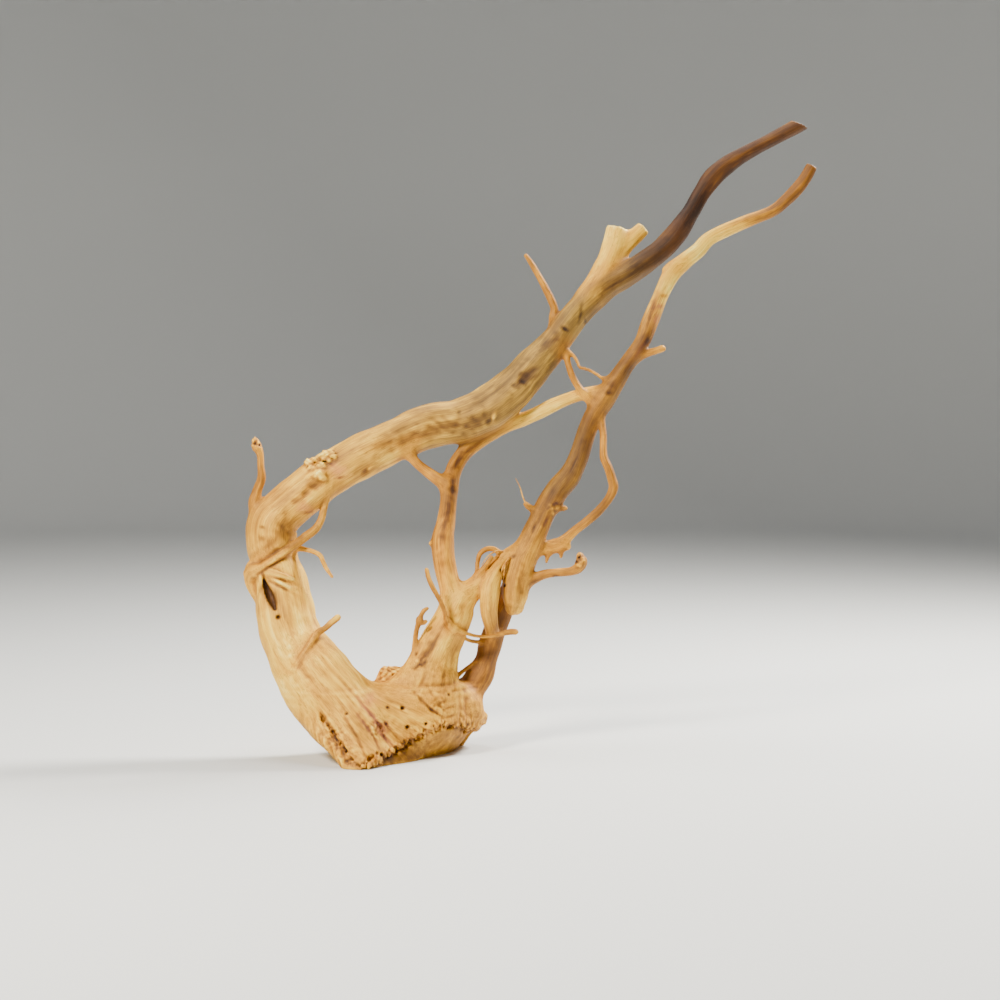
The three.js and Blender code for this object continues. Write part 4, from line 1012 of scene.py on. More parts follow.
# %% The tone and warmth of each limb
TONES = {  # name: tones and as many warmths, each from the limb's root to its tip
    # The darker, greyer middle and upper stretches of the left limb and the branch, and the dark
    # right arm, are partly the wood's own colour and partly painted shade. The paler stub, its prong
    # and the branch's pale stretch near the fork are partly bleached wood and partly painted
    # highlight.
    "trunk": ([0.16, 0.13, 0.06, 0.0, -0.02, -0.12, -0.22, -0.24, -0.4, -0.6, -0.5, -0.44],
              [0.4, 0.3, 0.1, -0.05, -0.1, -0.25, -0.35, -0.4, -0.3, 0.1, 0.3, 0.3]),
    "branch": ([0.0, -0.12, -0.24, -0.32, -0.34, -0.32, -0.24, 0.1, 0.16, 0.06, -0.26, -0.3],
               [0.2, 0.1, -0.1, -0.1, -0.1, -0.1, 0.0, -0.2, -0.2, 0.3, 1.0, 1.1]),
    "middle_arm": ([0.02, 0.05, 0.08, 0.06, 0.02], [0.6, 0.35, 0.25, 0.3, 0.5]),
    "right_arm": ([-0.12, -0.26, -0.34, -0.36, -0.36], [0.9, 1, 1, 1, 1]),
    "riser": ([0.05, -0.06, -0.14, -0.2, -0.14, 0.1, 0.2, 0.14],
              [0.4, 0.7, 0.8, 0.8, 0.5, 0.2, 0.1, 0.2]),
    "stub": ([0.05, 0.14, 0.18], [0.2, 0.15, 0.1]),
    "stub_prong": ([0.05, 0.12, 0.16], [0.2, 0.15, 0.1]),
    "limb_twig": ([-0.14, -0.16, -0.12, -0.1, 0.1], [0.9, 0.9, 0.9, 0.7, 0.3]),
    "wrap_root": ([0.06, 0.0, -0.06, -0.1, -0.08, 0.0, 0.04], [0.3, 0.3, 0.2, 0.2, 0.3, 0.3, 0.3]),
    "knee_twig": ([0.1, 0.12, 0.06, -0.02], [0.4, 0.4, 0.6, 0.7]),
    "rootlet_upper": ([0.0, 0.06, 0.06], [0.4, 0.4, 0.4]),
    "rootlet_lower": ([0.0, 0.08, 0.08], [0.4, 0.4, 0.4]),
    "rootlet_left": ([0.05, 0.12, 0.1], [0.3, 0.2, 0.2]),
    "drop": ([-0.02, 0.04, -0.05], [0.5, 0.3, 0.6]),
    "buttress": ([0.04, 0.03, 0.0], [0.5, 0.6, 0.7]),
    "loop": ([-0.14, -0.16, -0.14, -0.08, -0.04], [1.1, 1.1, 1.0, 0.9, 0.7]),
}
TWIG_TONE = ([-0.06, -0.12, -0.04], [1.0, 1.1, 0.8])
CROWN_TONE, CROWN_WARMTH, CROWN_GIRTH = 0.02, 0.6, 30.0

# %% Name every vertex by its place on its limb
# On the crown the left limb's grain runs on and spreads like a fan, so along is the distance
# from the fan's root, high on the left.
FAN_ROOT = (-102 - FOOT_ACROSS, 88.0)
FAN_WIDTH = 90.0
CROWN_TOP = 75.0  # no crown above this height
CROWN_FAMILY = 1
FADE = 3.5  # how fast a limb's say fades with the distance from its skin
LIMB_SAYS_WITHIN = 12.0
CROWN_SAYS_WITHIN = 14.0
FAMILY_FADE = 13.0  # a family has no share where its skin is this much further off
APART = 173.0  # between the grain places of one limb and of the next, so that none repeats
READ_AT_ONCE = 20000  # vertices, to keep the memory small
THINNEST = 1.2
families = [{"nearest": np.full(len(at), FAR), "place": np.zeros((len(at), 3))} for _ in range(3)]
tone = np.zeros(len(at))
warmth = np.zeros(len(at))
girth = np.zeros(len(at))
weight_sum = np.full(len(at), 1e-6)


def weigh(chosen, distance, tone_here, warmth_here, girth_here):
    """Adds one limb's say to the vertices chosen, the more the nearer they are to its skin."""
    weight = np.exp(-distance / FADE)
    tone[chosen] += weight * tone_here
    warmth[chosen] += weight * warmth_here
    girth[chosen] += weight * girth_here
    weight_sum[chosen] += weight


low_part = np.flatnonzero(at[:, 2] < CROWN_TOP)
crown_gap = crown_distance(at[low_part])
fan_across, fan_up = at[low_part, 0] - FAN_ROOT[0], at[low_part, 2] - FAN_ROOT[1]
fan_place = [np.hypot(fan_up, fan_across), np.arctan2(fan_up, fan_across) * FAN_WIDTH]
families[CROWN_FAMILY]["nearest"][low_part] = crown_gap
families[CROWN_FAMILY]["place"][low_part] = np.column_stack([*fan_place, at[low_part, 1]])
near_crown = np.abs(crown_gap) < CROWN_SAYS_WITHIN
weigh(low_part[near_crown], np.abs(crown_gap[near_crown]), CROWN_TONE, CROWN_WARMTH, CROWN_GIRTH)

for number, limb in enumerate(limbs):
    reach = limb["girth"].max() * 1.2 + LIMB_SAYS_WITHIN
    low, high = limb["middle"].min(0) - reach, limb["middle"].max(0) + reach
    chosen = np.flatnonzero(((at > low) & (at < high)).all(1))
    parts = np.array_split(chosen, 1 + len(chosen) // READ_AT_ONCE)
    distance, along, u, v = (np.concatenate(read)
                             for read in zip(*[read_limb(limb, at[part]) for part in parts]))
    tones, warmths = TONES.get(limb["name"], TWIG_TONE)
    steps = np.linspace(0, 1, len(tones))
    near = distance < LIMB_SAYS_WITHIN
    share = np.clip(along[near] / limb["along"][-1], 0, 1)
    weigh(chosen[near], np.abs(distance[near]),
          np.interp(share, steps, tones), np.interp(share, steps, warmths),
          np.interp(share * limb["along"][-1], limb["along"], limb["girth"]))
    if limb["name"] == "buttress":
        continue  # its grain is the fan's
    family = families[limb["family"]]
    better = distance < family["nearest"][chosen]
    place = np.column_stack([along + APART * number, u, v])[better]
    family["nearest"][chosen[better]] = distance[better]
    family["place"][chosen[better]] = place

nearest = np.min([family["nearest"] for family in families], axis=0)
shares = np.stack([np.clip(1 - (family["nearest"] - nearest) / FAMILY_FADE, 0, 1) ** 2
                   for family in families], axis=1)
shares /= shares.sum(1, keepdims=True)
tone /= weight_sum
warmth /= weight_sum
girth = np.maximum(girth / weight_sum, THINNEST)
for family, label in zip(families, "abc"):
    keep(wood, "grain_" + label, family["place"])
keep(wood, "shares", shares)
print("grain set,", round(time.time() - started, 1), "s")

# %% Colour and roughen the marks
DARK_SHARE = 0.62  # dark marks count for less than their rows say, pale ones in full
blush = np.zeros(len(at))


def vertices_around(centre, reach):
    return np.flatnonzero(np.abs(at - centre).max(1) < reach)


for mark in marks:
    chosen = vertices_around(mark.centre, 2.4 * mark.length + 4)
    strength = mark_strength(mark, at[chosen])
    tone[chosen] += (DARK_SHARE if mark.tone < 0 else 1.0) * mark.tone * strength
    warmth[chosen] += mark.warmth * strength
    blush[chosen] += mark.blush * strength
# Pinholes are darkened inside, as painted shade.
for hole in holes:
    away = distance_from(hole.centre, at, 0.4, (1, 0.5, 1)) / (hole.radius * 1.25)
    tone -= 0.5 * np.exp(-away ** 2)
# Torn pits are darkened inside, as painted shade, and warmed.
for pit in pits:
    chosen = vertices_around(pit.centre, pit.length + 3)
    inside = np.exp(-pit_spread(pit, at[chosen], wider=0.6, deeper=1.0) ** 2)
    tone[chosen] -= (0.2 + 0.12 * unevenness(at[chosen], 1.3)) * inside
    warmth[chosen] += 0.4 * inside
# The knothole slit is darkened inside, as painted shade.
away = np.min([distance_from(centre, at, 2, (1, 0.45, 1)) / (half * 1.15 + 0.5)
               for *centre, half in slit], axis=0)
tone -= 0.56 * np.exp(-away ** 4)
# Each knob is paler on its front, and a dark ring of painted shade lies in the crease round its
# foot.
for knob in knobs:
    away = distance_from(knob.centre, at, -0.4 * knob.radius, 1) / (knob.radius * 1.25)
    tone += 0.13 * np.exp(-away ** 4) - 0.07 * np.exp(-((away - 1.5) / 0.35) ** 2)
    warmth -= 0.1 * np.exp(-away ** 4)
for lump in lumps:
    away = np.linalg.norm(at - lump.centre, axis=1) / lump.radius
    tone += (0.04 + 0.14 * unevenness(at, 2.1)) * np.exp(-away ** 4)

# The torn edge is rough and a little orange. The sawn face under it is painted darker and greyish,
# and a band just below the edge darker still, as painted shade under the torn lip.
above = above_torn_line(at)
front = crown_front(at)
rough = front * np.exp(-(np.maximum(above, 0) / 9) ** 2) * (above > -2.5)
low_left = np.exp(-((at[:, 0] + 52) / 16) ** 2 - ((at[:, 2] - 16) / 16) ** 2)
rough = np.clip(rough + low_left * (at[:, 1] < 10), 0, 1)
sawn_face_shade = front * smooth_rise(-above / 1.5) * (at[:, 2] > 0.05)
tone -= 0.12 * sawn_face_shade + 0.14 * front * np.exp(-((above + 1.2) / 1.6) ** 2)
warmth += 0.3 * rough - 0.5 * sawn_face_shade
keep(wood, "rough", rough)
keep(wood, "girth", girth)

# %% [markdown]
# ## Relief along the grain
# Weathered wood isn't smooth: the soft wood between the year rings has washed out, which
# leaves fine ridges along the grain, deepest where it is torn. That relief follows one rule
# everywhere, so it is a Geometry Nodes tree. It reads the three grain places of a vertex,
# looks each up in a noise stretched along the grain, mixes them by their shares and moves
# the skin in or out.

# %% A helper for node trees
def add_node(tree, kind, inputs=None, **settings):
    """Adds a node, sets its options, and fills its inputs with values or with other sockets."""
    made = tree.nodes.new(kind)
    for option, value in settings.items():
        setattr(made, option, value)
    for socket, value in (inputs or {}).items():
        target = made.inputs[socket]
        if isinstance(value, bpy.types.NodeSocket):
            tree.links.new(value, target)
        else:
            target.default_value = value
    return made


def maths(tree, operation, *values):
    return add_node(tree, "ShaderNodeMath", dict(enumerate(values)), operation=operation).outputs[0]


def vector_maths(tree, operation, *values):
    made = add_node(tree, "ShaderNodeVectorMath", dict(enumerate(values)), operation=operation)
    return made.outputs["Vector"]


def geometry_tree(name, numbers):
    """A Geometry Nodes tree with a geometry input and an input for each named number."""
    tree = bpy.data.node_groups.new(name, "GeometryNodeTree")
    tree.interface.new_socket("Geometry", in_out="INPUT", socket_type="NodeSocketGeometry")
    for label, value in numbers.items():
        socket = tree.interface.new_socket(label, in_out="INPUT", socket_type="NodeSocketFloat")
        socket.default_value = value
    tree.interface.new_socket("Geometry", in_out="OUTPUT", socket_type="NodeSocketGeometry")
    return tree, tree.nodes.new("NodeGroupInput"), tree.nodes.new("NodeGroupOutput")


def add_tree(piece, tree):
    """Adds a tree as a modifier, with the numbers that the tree's inputs hold."""
    modifier = piece.modifiers.new(tree.name, "NODES")
    modifier.node_group = tree
    for item in tree.interface.items_tree:
        if item.in_out == "INPUT" and item.socket_type == "NodeSocketFloat":
            modifier[item.identifier] = item.default_value


def stored(tree, name, kind):
    node = add_node(tree, "GeometryNodeInputNamedAttribute", {"Name": name}, data_type=kind)
    return node.outputs["Attribute"]


def finish_tree(tree, geometry, material, output):
    """Ends a tree: its copies become real mesh, which gets its material."""
    real = add_node(tree, "GeometryNodeRealizeInstances", {"Geometry": geometry})
    coated = add_node(tree, "GeometryNodeSetMaterial",
                      {"Geometry": real.outputs[0], "Material": material})
    tree.links.new(coated.outputs[0], output.inputs[0])


# %% Move the skin along the grain
# The depths are in metres. A groove's width and length are in millimetres, as the grain
# places are.
RELIEF_GAIN = 2.6
NO_RELIEF_BELOW = 0.0006  # in metres, so that the foot stays flat
FULL_RELIEF_GIRTH = 9.0  # thinner limbs have shallower grooves
bare_wood = bpy.data.materials.new("bare wood")
relief, given, result = geometry_tree("relief", {
    "Groove depth": 0.00028, "Torn depth": 0.002, "Groove width": 4.2, "Groove length": 50.0,
})
shares_by_family = add_node(relief, "ShaderNodeSeparateXYZ",
                            {0: stored(relief, "shares", "FLOAT_VECTOR")})
along_scale = maths(relief, "DIVIDE", 1.0, given.outputs["Groove length"])
across_scale = maths(relief, "DIVIDE", 1.0, given.outputs["Groove width"])
stretch = add_node(relief, "ShaderNodeCombineXYZ",
                   {0: along_scale, 1: across_scale, 2: across_scale})
height = 0.0
for label, share in zip("abc", shares_by_family.outputs):
    spot = vector_maths(relief, "MULTIPLY", stored(relief, "grain_" + label, "FLOAT_VECTOR"),
                        stretch.outputs[0])
    noise = add_node(relief, "ShaderNodeTexNoise",
                     {"Vector": spot, "Scale": 1.0, "Detail": 2.5, "Roughness": 0.6})
    centred = maths(relief, "SUBTRACT", noise.outputs[0], 0.5)
    height = maths(relief, "ADD", height, maths(relief, "MULTIPLY", centred, share))
thickness = maths(relief, "DIVIDE", stored(relief, "girth", "FLOAT"), FULL_RELIEF_GIRTH)
thickness = maths(relief, "MINIMUM", thickness, 1.0)
groove = maths(relief, "MULTIPLY", thickness, given.outputs["Groove depth"])
torn = maths(relief, "MULTIPLY", stored(relief, "rough", "FLOAT"), given.outputs["Torn depth"])
depth = maths(relief, "ADD", groove, torn)
push = add_node(relief, "ShaderNodeVectorMath", {
    0: add_node(relief, "GeometryNodeInputNormal").outputs[0],
    "Scale": maths(relief, "MULTIPLY", maths(relief, "MULTIPLY", height, RELIEF_GAIN), depth),
}, operation="SCALE")
position = add_node(relief, "GeometryNodeInputPosition").outputs[0]
place_z = add_node(relief, "ShaderNodeSeparateXYZ", {0: position}).outputs["Z"]
off_the_foot = maths(relief, "GREATER_THAN", place_z, NO_RELIEF_BELOW)
moved = add_node(relief, "GeometryNodeSetPosition", {
    "Geometry": given.outputs["Geometry"], "Selection": off_the_foot,
    "Offset": push.outputs["Vector"]})
finish_tree(relief, moved.outputs[0], bare_wood, result)
add_tree(wood, relief)
settle(wood)

# %% [markdown]
# ## Worn ridges and painted shade in hollows
# Hands, sand and water polish what stands out, so ridges are painted paler, partly as that
# wear and partly as painted highlight, and hollows are painted darker as painted shade. How
# far a vertex stands above the mean of its neighbours tells the two apart. The broad bend of
# the limb is taken away first, so that only ridges and hollows count.

# %% Store the tone of every vertex
# Ridges get their paleness partly as wear and partly as painted highlight, and hollows get their
# darkness as painted shade.
RIDGE_HEIGHT = 0.12  # a vertex this far above its surroundings counts as fully worn
COOLEST, WARMEST = -0.6, 1.2
edges = np.empty(len(wood.data.edges) * 2, np.int32)
wood.data.edges.foreach_get("vertices", edges)
edges = edges.reshape(-1, 2)
neighbours = np.bincount(edges.ravel(), minlength=len(at))


def spread_out(values, times):
    """Averages values with those of the neighbouring vertices, a number of times."""
    for _ in range(times):
        total = np.zeros_like(values)
        for k in range(values.shape[1]):
            total[:, k] = (np.bincount(edges[:, 0], values[edges[:, 1], k], len(values))
                           + np.bincount(edges[:, 1], values[edges[:, 0], k], len(values)))
        values = 0.5 * values + 0.5 * total / np.maximum(neighbours, 1)[:, None]
    return values


at = corners(wood)
sunk = ((spread_out(at, 2) - at) * vertex_normals(wood)).sum(1, keepdims=True)
sunk = spread_out(sunk, 1) - spread_out(sunk, 14)
# Above zero on ridges, painted paler as partly wear and partly painted highlight; below zero in
# hollows, painted darker as painted shade.
wear_and_hollow_shade = np.clip(-sunk[:, 0] / RIDGE_HEIGHT, -1, 1)
keep(wood, "tone", tone)
keep(wood, "warmth", np.clip(warmth, COOLEST, WARMEST))
keep(wood, "blush", np.clip(blush, 0, 1))
keep(wood, "wear_and_hollow_shade", wear_and_hollow_shade)
print("relief and wear:", [round(float(v), 2) for v in np.percentile(wear_and_hollow_shade, [5, 50, 95])],
      round(time.time() - started, 1), "s")

# %% [markdown]
# ## Splinters along the torn edge
# Torn grain ends in slivers too fine for the skin. One small sliver, thick at its root and
# sharp at its tip, is set on the skin many times: along the torn edge, down the crown's left
# side and at two frayed twig ends. It is laid along a direction that each vertex keeps, which
# is down and outwards. The seeds are fixed, so every run grows the same splinters.

# %% Say where splinters grow and which way they lie
FRAYED_TWIGS = ("right_twig", "finger")
splinter_bed = wood.copy()
splinter_bed.data = wood.data.copy()
bpy.context.scene.collection.objects.link(splinter_bed)
hanging = vertex_normals(wood) * 0.55 + np.array([0.1, -0.1, -1.0])
keep(splinter_bed, "fibre", hanging / np.linalg.norm(hanging, axis=1, keepdims=True))
fringe_strength = front * np.exp(-((above_torn_line(at) - 0.6) / 1.5) ** 2)
fringe_strength += 0.5 * rough * np.exp(-((at[:, 2] - 3) / 4) ** 2)
torn_side = smooth_line(np.array([skin_point(across, up) for across, up in TORN_SIDE]))
from_side = np.min([np.linalg.norm(at - place, axis=1) for place in torn_side[::2]], axis=0)
fringe_strength += 0.8 * np.exp(-(from_side / 2.6) ** 2)
for limb in limbs:
    if limb["name"] in FRAYED_TWIGS:
        from_end = np.linalg.norm(at - limb["middle"][-1], axis=1)
        fringe_strength = np.maximum(fringe_strength, 0.8 * np.exp(-(from_end / 4.5) ** 2))
keep(splinter_bed, "fringe", np.clip(fringe_strength, 0, 1))


# %% Grow the splinters
def random_between(tree, kind, low, high, seed):
    """A random number or vector, different for each splinter."""
    made = add_node(tree, "FunctionNodeRandomValue", data_type=kind)
    settings = {"Min": low, "Max": high, "Seed": seed}
    for socket in made.inputs:
        if socket.enabled and socket.name in settings:
            socket.default_value = settings[socket.name]
    return next(socket for socket in made.outputs if socket.enabled)


LEFT_AT_TIP = 0.15
SUNK_SHARE = 0.3  # how much of a splinter is inside the wood
OFF_THE_FLOOR = 0.2
splinters, given, result = geometry_tree("splinters", {
    "Each square metre": 70000.0, "Length": 0.003, "Thickness": 0.0005,
})
fringe = stored(splinters, "fringe", "FLOAT")
density = maths(splinters, "MULTIPLY", maths(splinters, "MULTIPLY", fringe, fringe),
                given.outputs["Each square metre"])
points = add_node(splinters, "GeometryNodeDistributePointsOnFaces",
                  {"Mesh": given.outputs["Geometry"], "Density": density, "Seed": 5})
sliver = add_node(splinters, "GeometryNodeMeshCone", {
    "Vertices": 5, "Side Segments": 2, "Radius Top": given.outputs["Thickness"],
    "Radius Bottom": given.outputs["Thickness"], "Depth": given.outputs["Length"]})
spot = add_node(splinters, "GeometryNodeInputPosition").outputs[0]
spot_parts = add_node(splinters, "ShaderNodeSeparateXYZ", {0: spot})
share_up = maths(splinters, "DIVIDE", spot_parts.outputs["Z"], given.outputs["Length"])
share_up = add_node(splinters, "ShaderNodeClamp", {0: share_up}).outputs[0]
narrowing = maths(splinters, "SUBTRACT", 1.0,
                  maths(splinters, "MULTIPLY", share_up, 1 - LEFT_AT_TIP))
narrow = add_node(splinters, "ShaderNodeCombineXYZ", {
    0: maths(splinters, "MULTIPLY", spot_parts.outputs["X"], narrowing),
    1: maths(splinters, "MULTIPLY", spot_parts.outputs["Y"], narrowing),
    2: maths(splinters, "SUBTRACT", spot_parts.outputs["Z"],
             maths(splinters, "MULTIPLY", given.outputs["Length"], SUNK_SHARE))})
tapered = add_node(splinters, "GeometryNodeSetPosition",
                   {"Geometry": sliver.outputs["Mesh"], "Position": narrow.outputs[0]})
astray = random_between(splinters, "FLOAT_VECTOR", (-0.45, -0.45, -0.25), (0.45, 0.45, 0.25), 3)
lay = vector_maths(splinters, "ADD", stored(splinters, "fibre", "FLOAT_VECTOR"), astray)
turn = add_node(splinters, "FunctionNodeAlignRotationToVector", {"Vector": lay}, axis="Z")
planted = add_node(splinters, "GeometryNodeInstanceOnPoints", {
    "Points": points.outputs["Points"], "Instance": tapered.outputs[0],
    "Rotation": turn.outputs[0],
    "Scale": random_between(splinters, "FLOAT", 0.35, 1.25, 9)})
splinter_coat = bpy.data.materials.new("torn fibre")
finish_tree(splinters, planted.outputs[0], splinter_coat, result)
add_tree(splinter_bed, splinters)
settle(splinter_bed)

# No splinter goes down to the floor.
sliver_places = corners(splinter_bed)
sliver_places[:, 2] = np.maximum(sliver_places[:, 2], OFF_THE_FLOOR)
set_corners(splinter_bed, sliver_places)
splinter_bed.name = splinter_bed.data.name = "splinters"
print("splinters:", len(splinter_bed.data.polygons), "faces")

# %% [markdown]
# ## Hair roots
# A few dried rootlets are as thin as twine. Each is a curve through a handful of points,
# which thins towards its tip. Geometry Nodes give the curves their thickness, so all of
# them share one tree. Its thickness input is a millimetre, and each point's own radius says
# how many of those it is wide.

# %% Lay the hair roots
HAIR_ROOTS = [  # places on the drawing, and the half width at the root
    ([(82.5, 210, 98), (80, 216, 97), (78, 223, 97), (74.5, 230, 96)], 0.75),
    ([(-118, 156.5, 72), (-112, 155, 69), (-107, 152, 68), (-103, 149.5, 69)], 0.9),
    ([(-119, 154, 72), (-114, 150.5, 69.5), (-110, 147, 69), (-107, 144, 70)], 0.8),
    ([(64, 170, 97), (58, 168, 91), (52, 161, 88), (47, 155, 88)], 1.0),
    ([(66, 172, 97), (60, 173, 92), (53, 169, 89), (48, 162, 88)], 1.0),
    ([(68, 165, 91), (65, 161, 87), (63, 154, 86), (62.5, 147, 87)], 1.1),
    ([(70, 168, 90), (66.5, 163, 86), (65.5, 156, 86), (65, 149, 88)], 1.0),
]
TIP_SHARE = 0.3
curve = bpy.data.curves.new("hair roots", "CURVE")
curve.dimensions = "3D"
for drawing, half in HAIR_ROOTS:
    drawing = np.array(drawing, float)
    thinning = np.linspace(1, TIP_SHARE, len(drawing))
    line = smooth_line(np.column_stack([placed(*drawing.T), thinning]))
    spline = curve.splines.new("POLY")
    spline.points.add(len(line) - 1)
    for point, (x, y, z, thin_share) in zip(spline.points, line):
        point.co = (x * MM, y * MM, z * MM, 1)
        point.radius = half * thin_share
hair_curves = bpy.data.objects.new("hair roots", curve)
bpy.context.scene.collection.objects.link(hair_curves)

hair_tree, given, result = geometry_tree("hair roots", {"Thickness": MM})
ring = add_node(hair_tree, "GeometryNodeCurvePrimitiveCircle",
                {"Resolution": 8, "Radius": given.outputs["Thickness"]})
tube = add_node(hair_tree, "GeometryNodeCurveToMesh", {
    "Curve": given.outputs["Geometry"], "Profile Curve": ring.outputs[0], "Fill Caps": True,
    "Scale": add_node(hair_tree, "GeometryNodeInputRadius").outputs[0]})
finish_tree(hair_tree, tube.outputs[0], splinter_coat, result)
add_tree(hair_curves, hair_tree)
hair_roots = bpy.data.objects.new("hair_roots", finished_mesh(hair_curves))
bpy.data.objects.remove(hair_curves)
bpy.context.scene.collection.objects.link(hair_roots)
print("hair roots:", len(hair_roots.data.polygons), "faces")

# %% [markdown]
# ## The finish of bare wood
# The colour runs from dark heartwood through orange and tan to bleached cream. A vertex's
# tone says where it stands between them, and fine and broad streaks along the grain move it
# a little either way. The streaks are read in each grain family's own places and mixed by
# share, as the relief was. Ridges are paler, partly wear and partly painted highlight, and
# hollows are darker as painted shade. A warmth below zero greys the wood, as weathering and
# in places as painted shade; blush reddens it, and a fine bump gives the grain its tooth.

# %% Streaks along the grain, as a group
def paint(red, green, blue):
    """A colour given as it looks on screen, from 0 to 255, as the shader's linear light."""
    return tuple((c / 255 / 12.92 if c <= 10 else ((c / 255 + 0.055) / 1.055) ** 2.4)
                 for c in (red, green, blue)) + (1.0,)


streaks = bpy.data.node_groups.new("streaks", "ShaderNodeTree")
streaks.interface.new_socket("Place", in_out="INPUT", socket_type="NodeSocketVector")
for label in ("Fine", "Broad", "Patch"):
    streaks.interface.new_socket(label, in_out="OUTPUT", socket_type="NodeSocketFloat")
given, result = streaks.nodes.new("NodeGroupInput"), streaks.nodes.new("NodeGroupOutput")
STREAK_SIZES = {  # along and across the grain in millimetres, detail, roughness
    "Fine": (26, 0.9, 3, 0.65), "Broad": (70, 4.2, 3, 0.55), "Patch": (34, 16, 2, 0.5),
}
for label, (long, wide, detail, roughness) in STREAK_SIZES.items():
    size = vector_maths(streaks, "MULTIPLY", given.outputs["Place"],
                        (1 / long, 1 / wide, 1 / wide))
    noise = add_node(streaks, "ShaderNodeTexNoise", {
        "Vector": size, "Scale": 1.0, "Detail": detail, "Roughness": roughness,
        "Distortion": 0.25})
    streaks.links.new(noise.outputs[0], result.inputs[label])


# %% Build the wood's material
def attribute(tree, name):
    return add_node(tree, "ShaderNodeAttribute", attribute_name=name)


def mixed(tree, share, first, second, blend="MIX"):
    made = add_node(tree, "ShaderNodeMix", data_type="RGBA", blend_type=blend)
    for socket, value in ((0, share), (6, first), (7, second)):
        if isinstance(value, bpy.types.NodeSocket):
            tree.links.new(value, made.inputs[socket])
        else:
            made.inputs[socket].default_value = value
    return made.outputs[2]


def ramp(tree, value, stops):
    made = add_node(tree, "ShaderNodeValToRGB", {0: value})
    band = made.color_ramp
    while len(band.elements) < len(stops):
        band.elements.new(0.5)
    for element, (position, colour) in zip(band.elements, stops):
        element.position = position
        element.color = colour
    return made.outputs[0]


WOOD_TONES = [  # where on the ramp, and the colour there
    (0.0, paint(36, 17, 6)), (0.2, paint(74, 42, 10)), (0.4, paint(120, 77, 14)),
    (0.56, paint(168, 114, 22)), (0.7, paint(212, 155, 36)), (0.84, paint(238, 192, 62)),
    (1.0, paint(252, 228, 122)),
]
FINE_SWING, BROAD_SWING, PATCH_SWING, WEAR_AND_SHADE_SWING = 0.42, 0.38, 0.52, 0.13
MIDDLE_TONE = 0.66  # where wood with a tone of zero stands on the ramp
ORANGE_FILTER = (1.0, 0.86, 0.5, 1.0)
PINK_FILTER = (1.0, 0.8, 1.0, 1.0)
bare_wood.use_nodes = True
tree = bare_wood.node_tree
shader = tree.nodes["Principled BSDF"]
family_shares = add_node(tree, "ShaderNodeSeparateXYZ",
                         {0: attribute(tree, "shares").outputs["Vector"]})
fine, broad, patch = 0.0, 0.0, 0.0
for label, share in zip("abc", family_shares.outputs):
    looked_up = add_node(tree, "ShaderNodeGroup", node_tree=streaks)
    tree.links.new(attribute(tree, "grain_" + label).outputs["Vector"], looked_up.inputs[0])
    fine = maths(tree, "ADD", fine, maths(tree, "MULTIPLY", looked_up.outputs["Fine"], share))
    broad = maths(tree, "ADD", broad, maths(tree, "MULTIPLY", looked_up.outputs["Broad"], share))
    patch = maths(tree, "ADD", patch, maths(tree, "MULTIPLY", looked_up.outputs["Patch"], share))


def swing(value, strength):
    """A noise's swing either side of nothing."""
    return maths(tree, "MULTIPLY", maths(tree, "SUBTRACT", value, 0.5), strength)


def number_at(name, strength):
    """A number that the vertices keep, times a strength."""
    return maths(tree, "MULTIPLY", attribute(tree, name).outputs["Fac"], strength)


def held_to_one(value):
    return add_node(tree, "ShaderNodeClamp", {0: value}).outputs[0]


# The tone, with the streaks' swing, the paler ridges and the painted shade of hollows.
level = maths(tree, "ADD", attribute(tree, "tone").outputs["Fac"], MIDDLE_TONE)
for part in (swing(fine, FINE_SWING), swing(broad, BROAD_SWING), swing(patch, PATCH_SWING),
             number_at("wear_and_hollow_shade", WEAR_AND_SHADE_SWING)):
    level = maths(tree, "ADD", level, part)
colour = ramp(tree, level, WOOD_TONES)

# Warm wood is more orange, and wood colder than nothing is greyed: weathering, and painted shade on
# the sawn face and the upper limbs.
warm = held_to_one(maths(tree, "ADD", number_at("warmth", 0.62), swing(patch, 0.9)))
colour = mixed(tree, warm, colour, mixed(tree, 1.0, colour, ORANGE_FILTER, "MULTIPLY"))
greyed = add_node(tree, "ShaderNodeHueSaturation",
                     {"Hue": 0.526, "Saturation": 0.92, "Color": colour})
colour = mixed(tree, held_to_one(number_at("warmth", -2.0)), colour, greyed.outputs[0])

# The blush, then dark flecks in the fine streaks and cracks in the broad ones.
flushed = mixed(tree, 0.3, mixed(tree, 1.0, colour, PINK_FILTER, "MULTIPLY"),
                paint(204, 128, 104))
colour = mixed(tree, number_at("blush", 0.9), colour, flushed)
FLECKS_BELOW, CRACK_LEVEL, CRACK_WIDTH, CRACKS_ABOVE = 0.34, 0.48, 0.014, 0.47
fleck = maths(tree, "LESS_THAN", fine, FLECKS_BELOW)
colour = mixed(tree, maths(tree, "MULTIPLY", fleck, 0.3), colour, paint(110, 70, 26))
off_line = maths(tree, "ABSOLUTE", maths(tree, "SUBTRACT", broad, CRACK_LEVEL))
crack = maths(tree, "SUBTRACT", 1.0, maths(tree, "DIVIDE", off_line, CRACK_WIDTH))
crack = maths(tree, "MAXIMUM", 0.0, crack)
crack = maths(tree, "MULTIPLY", crack, maths(tree, "GREATER_THAN", patch, CRACKS_ABOVE))
colour = mixed(tree, maths(tree, "MULTIPLY", crack, 0.42), colour, paint(84, 50, 18))
tree.links.new(colour, shader.inputs["Base Color"])
roughness = maths(tree, "ADD", maths(tree, "MULTIPLY", fine, 0.3), 0.5)
tree.links.new(roughness, shader.inputs["Roughness"])
shader.inputs["Specular IOR Level"].default_value = 0.32
grain_height = maths(tree, "ADD", fine, maths(tree, "MULTIPLY", broad, 0.8))
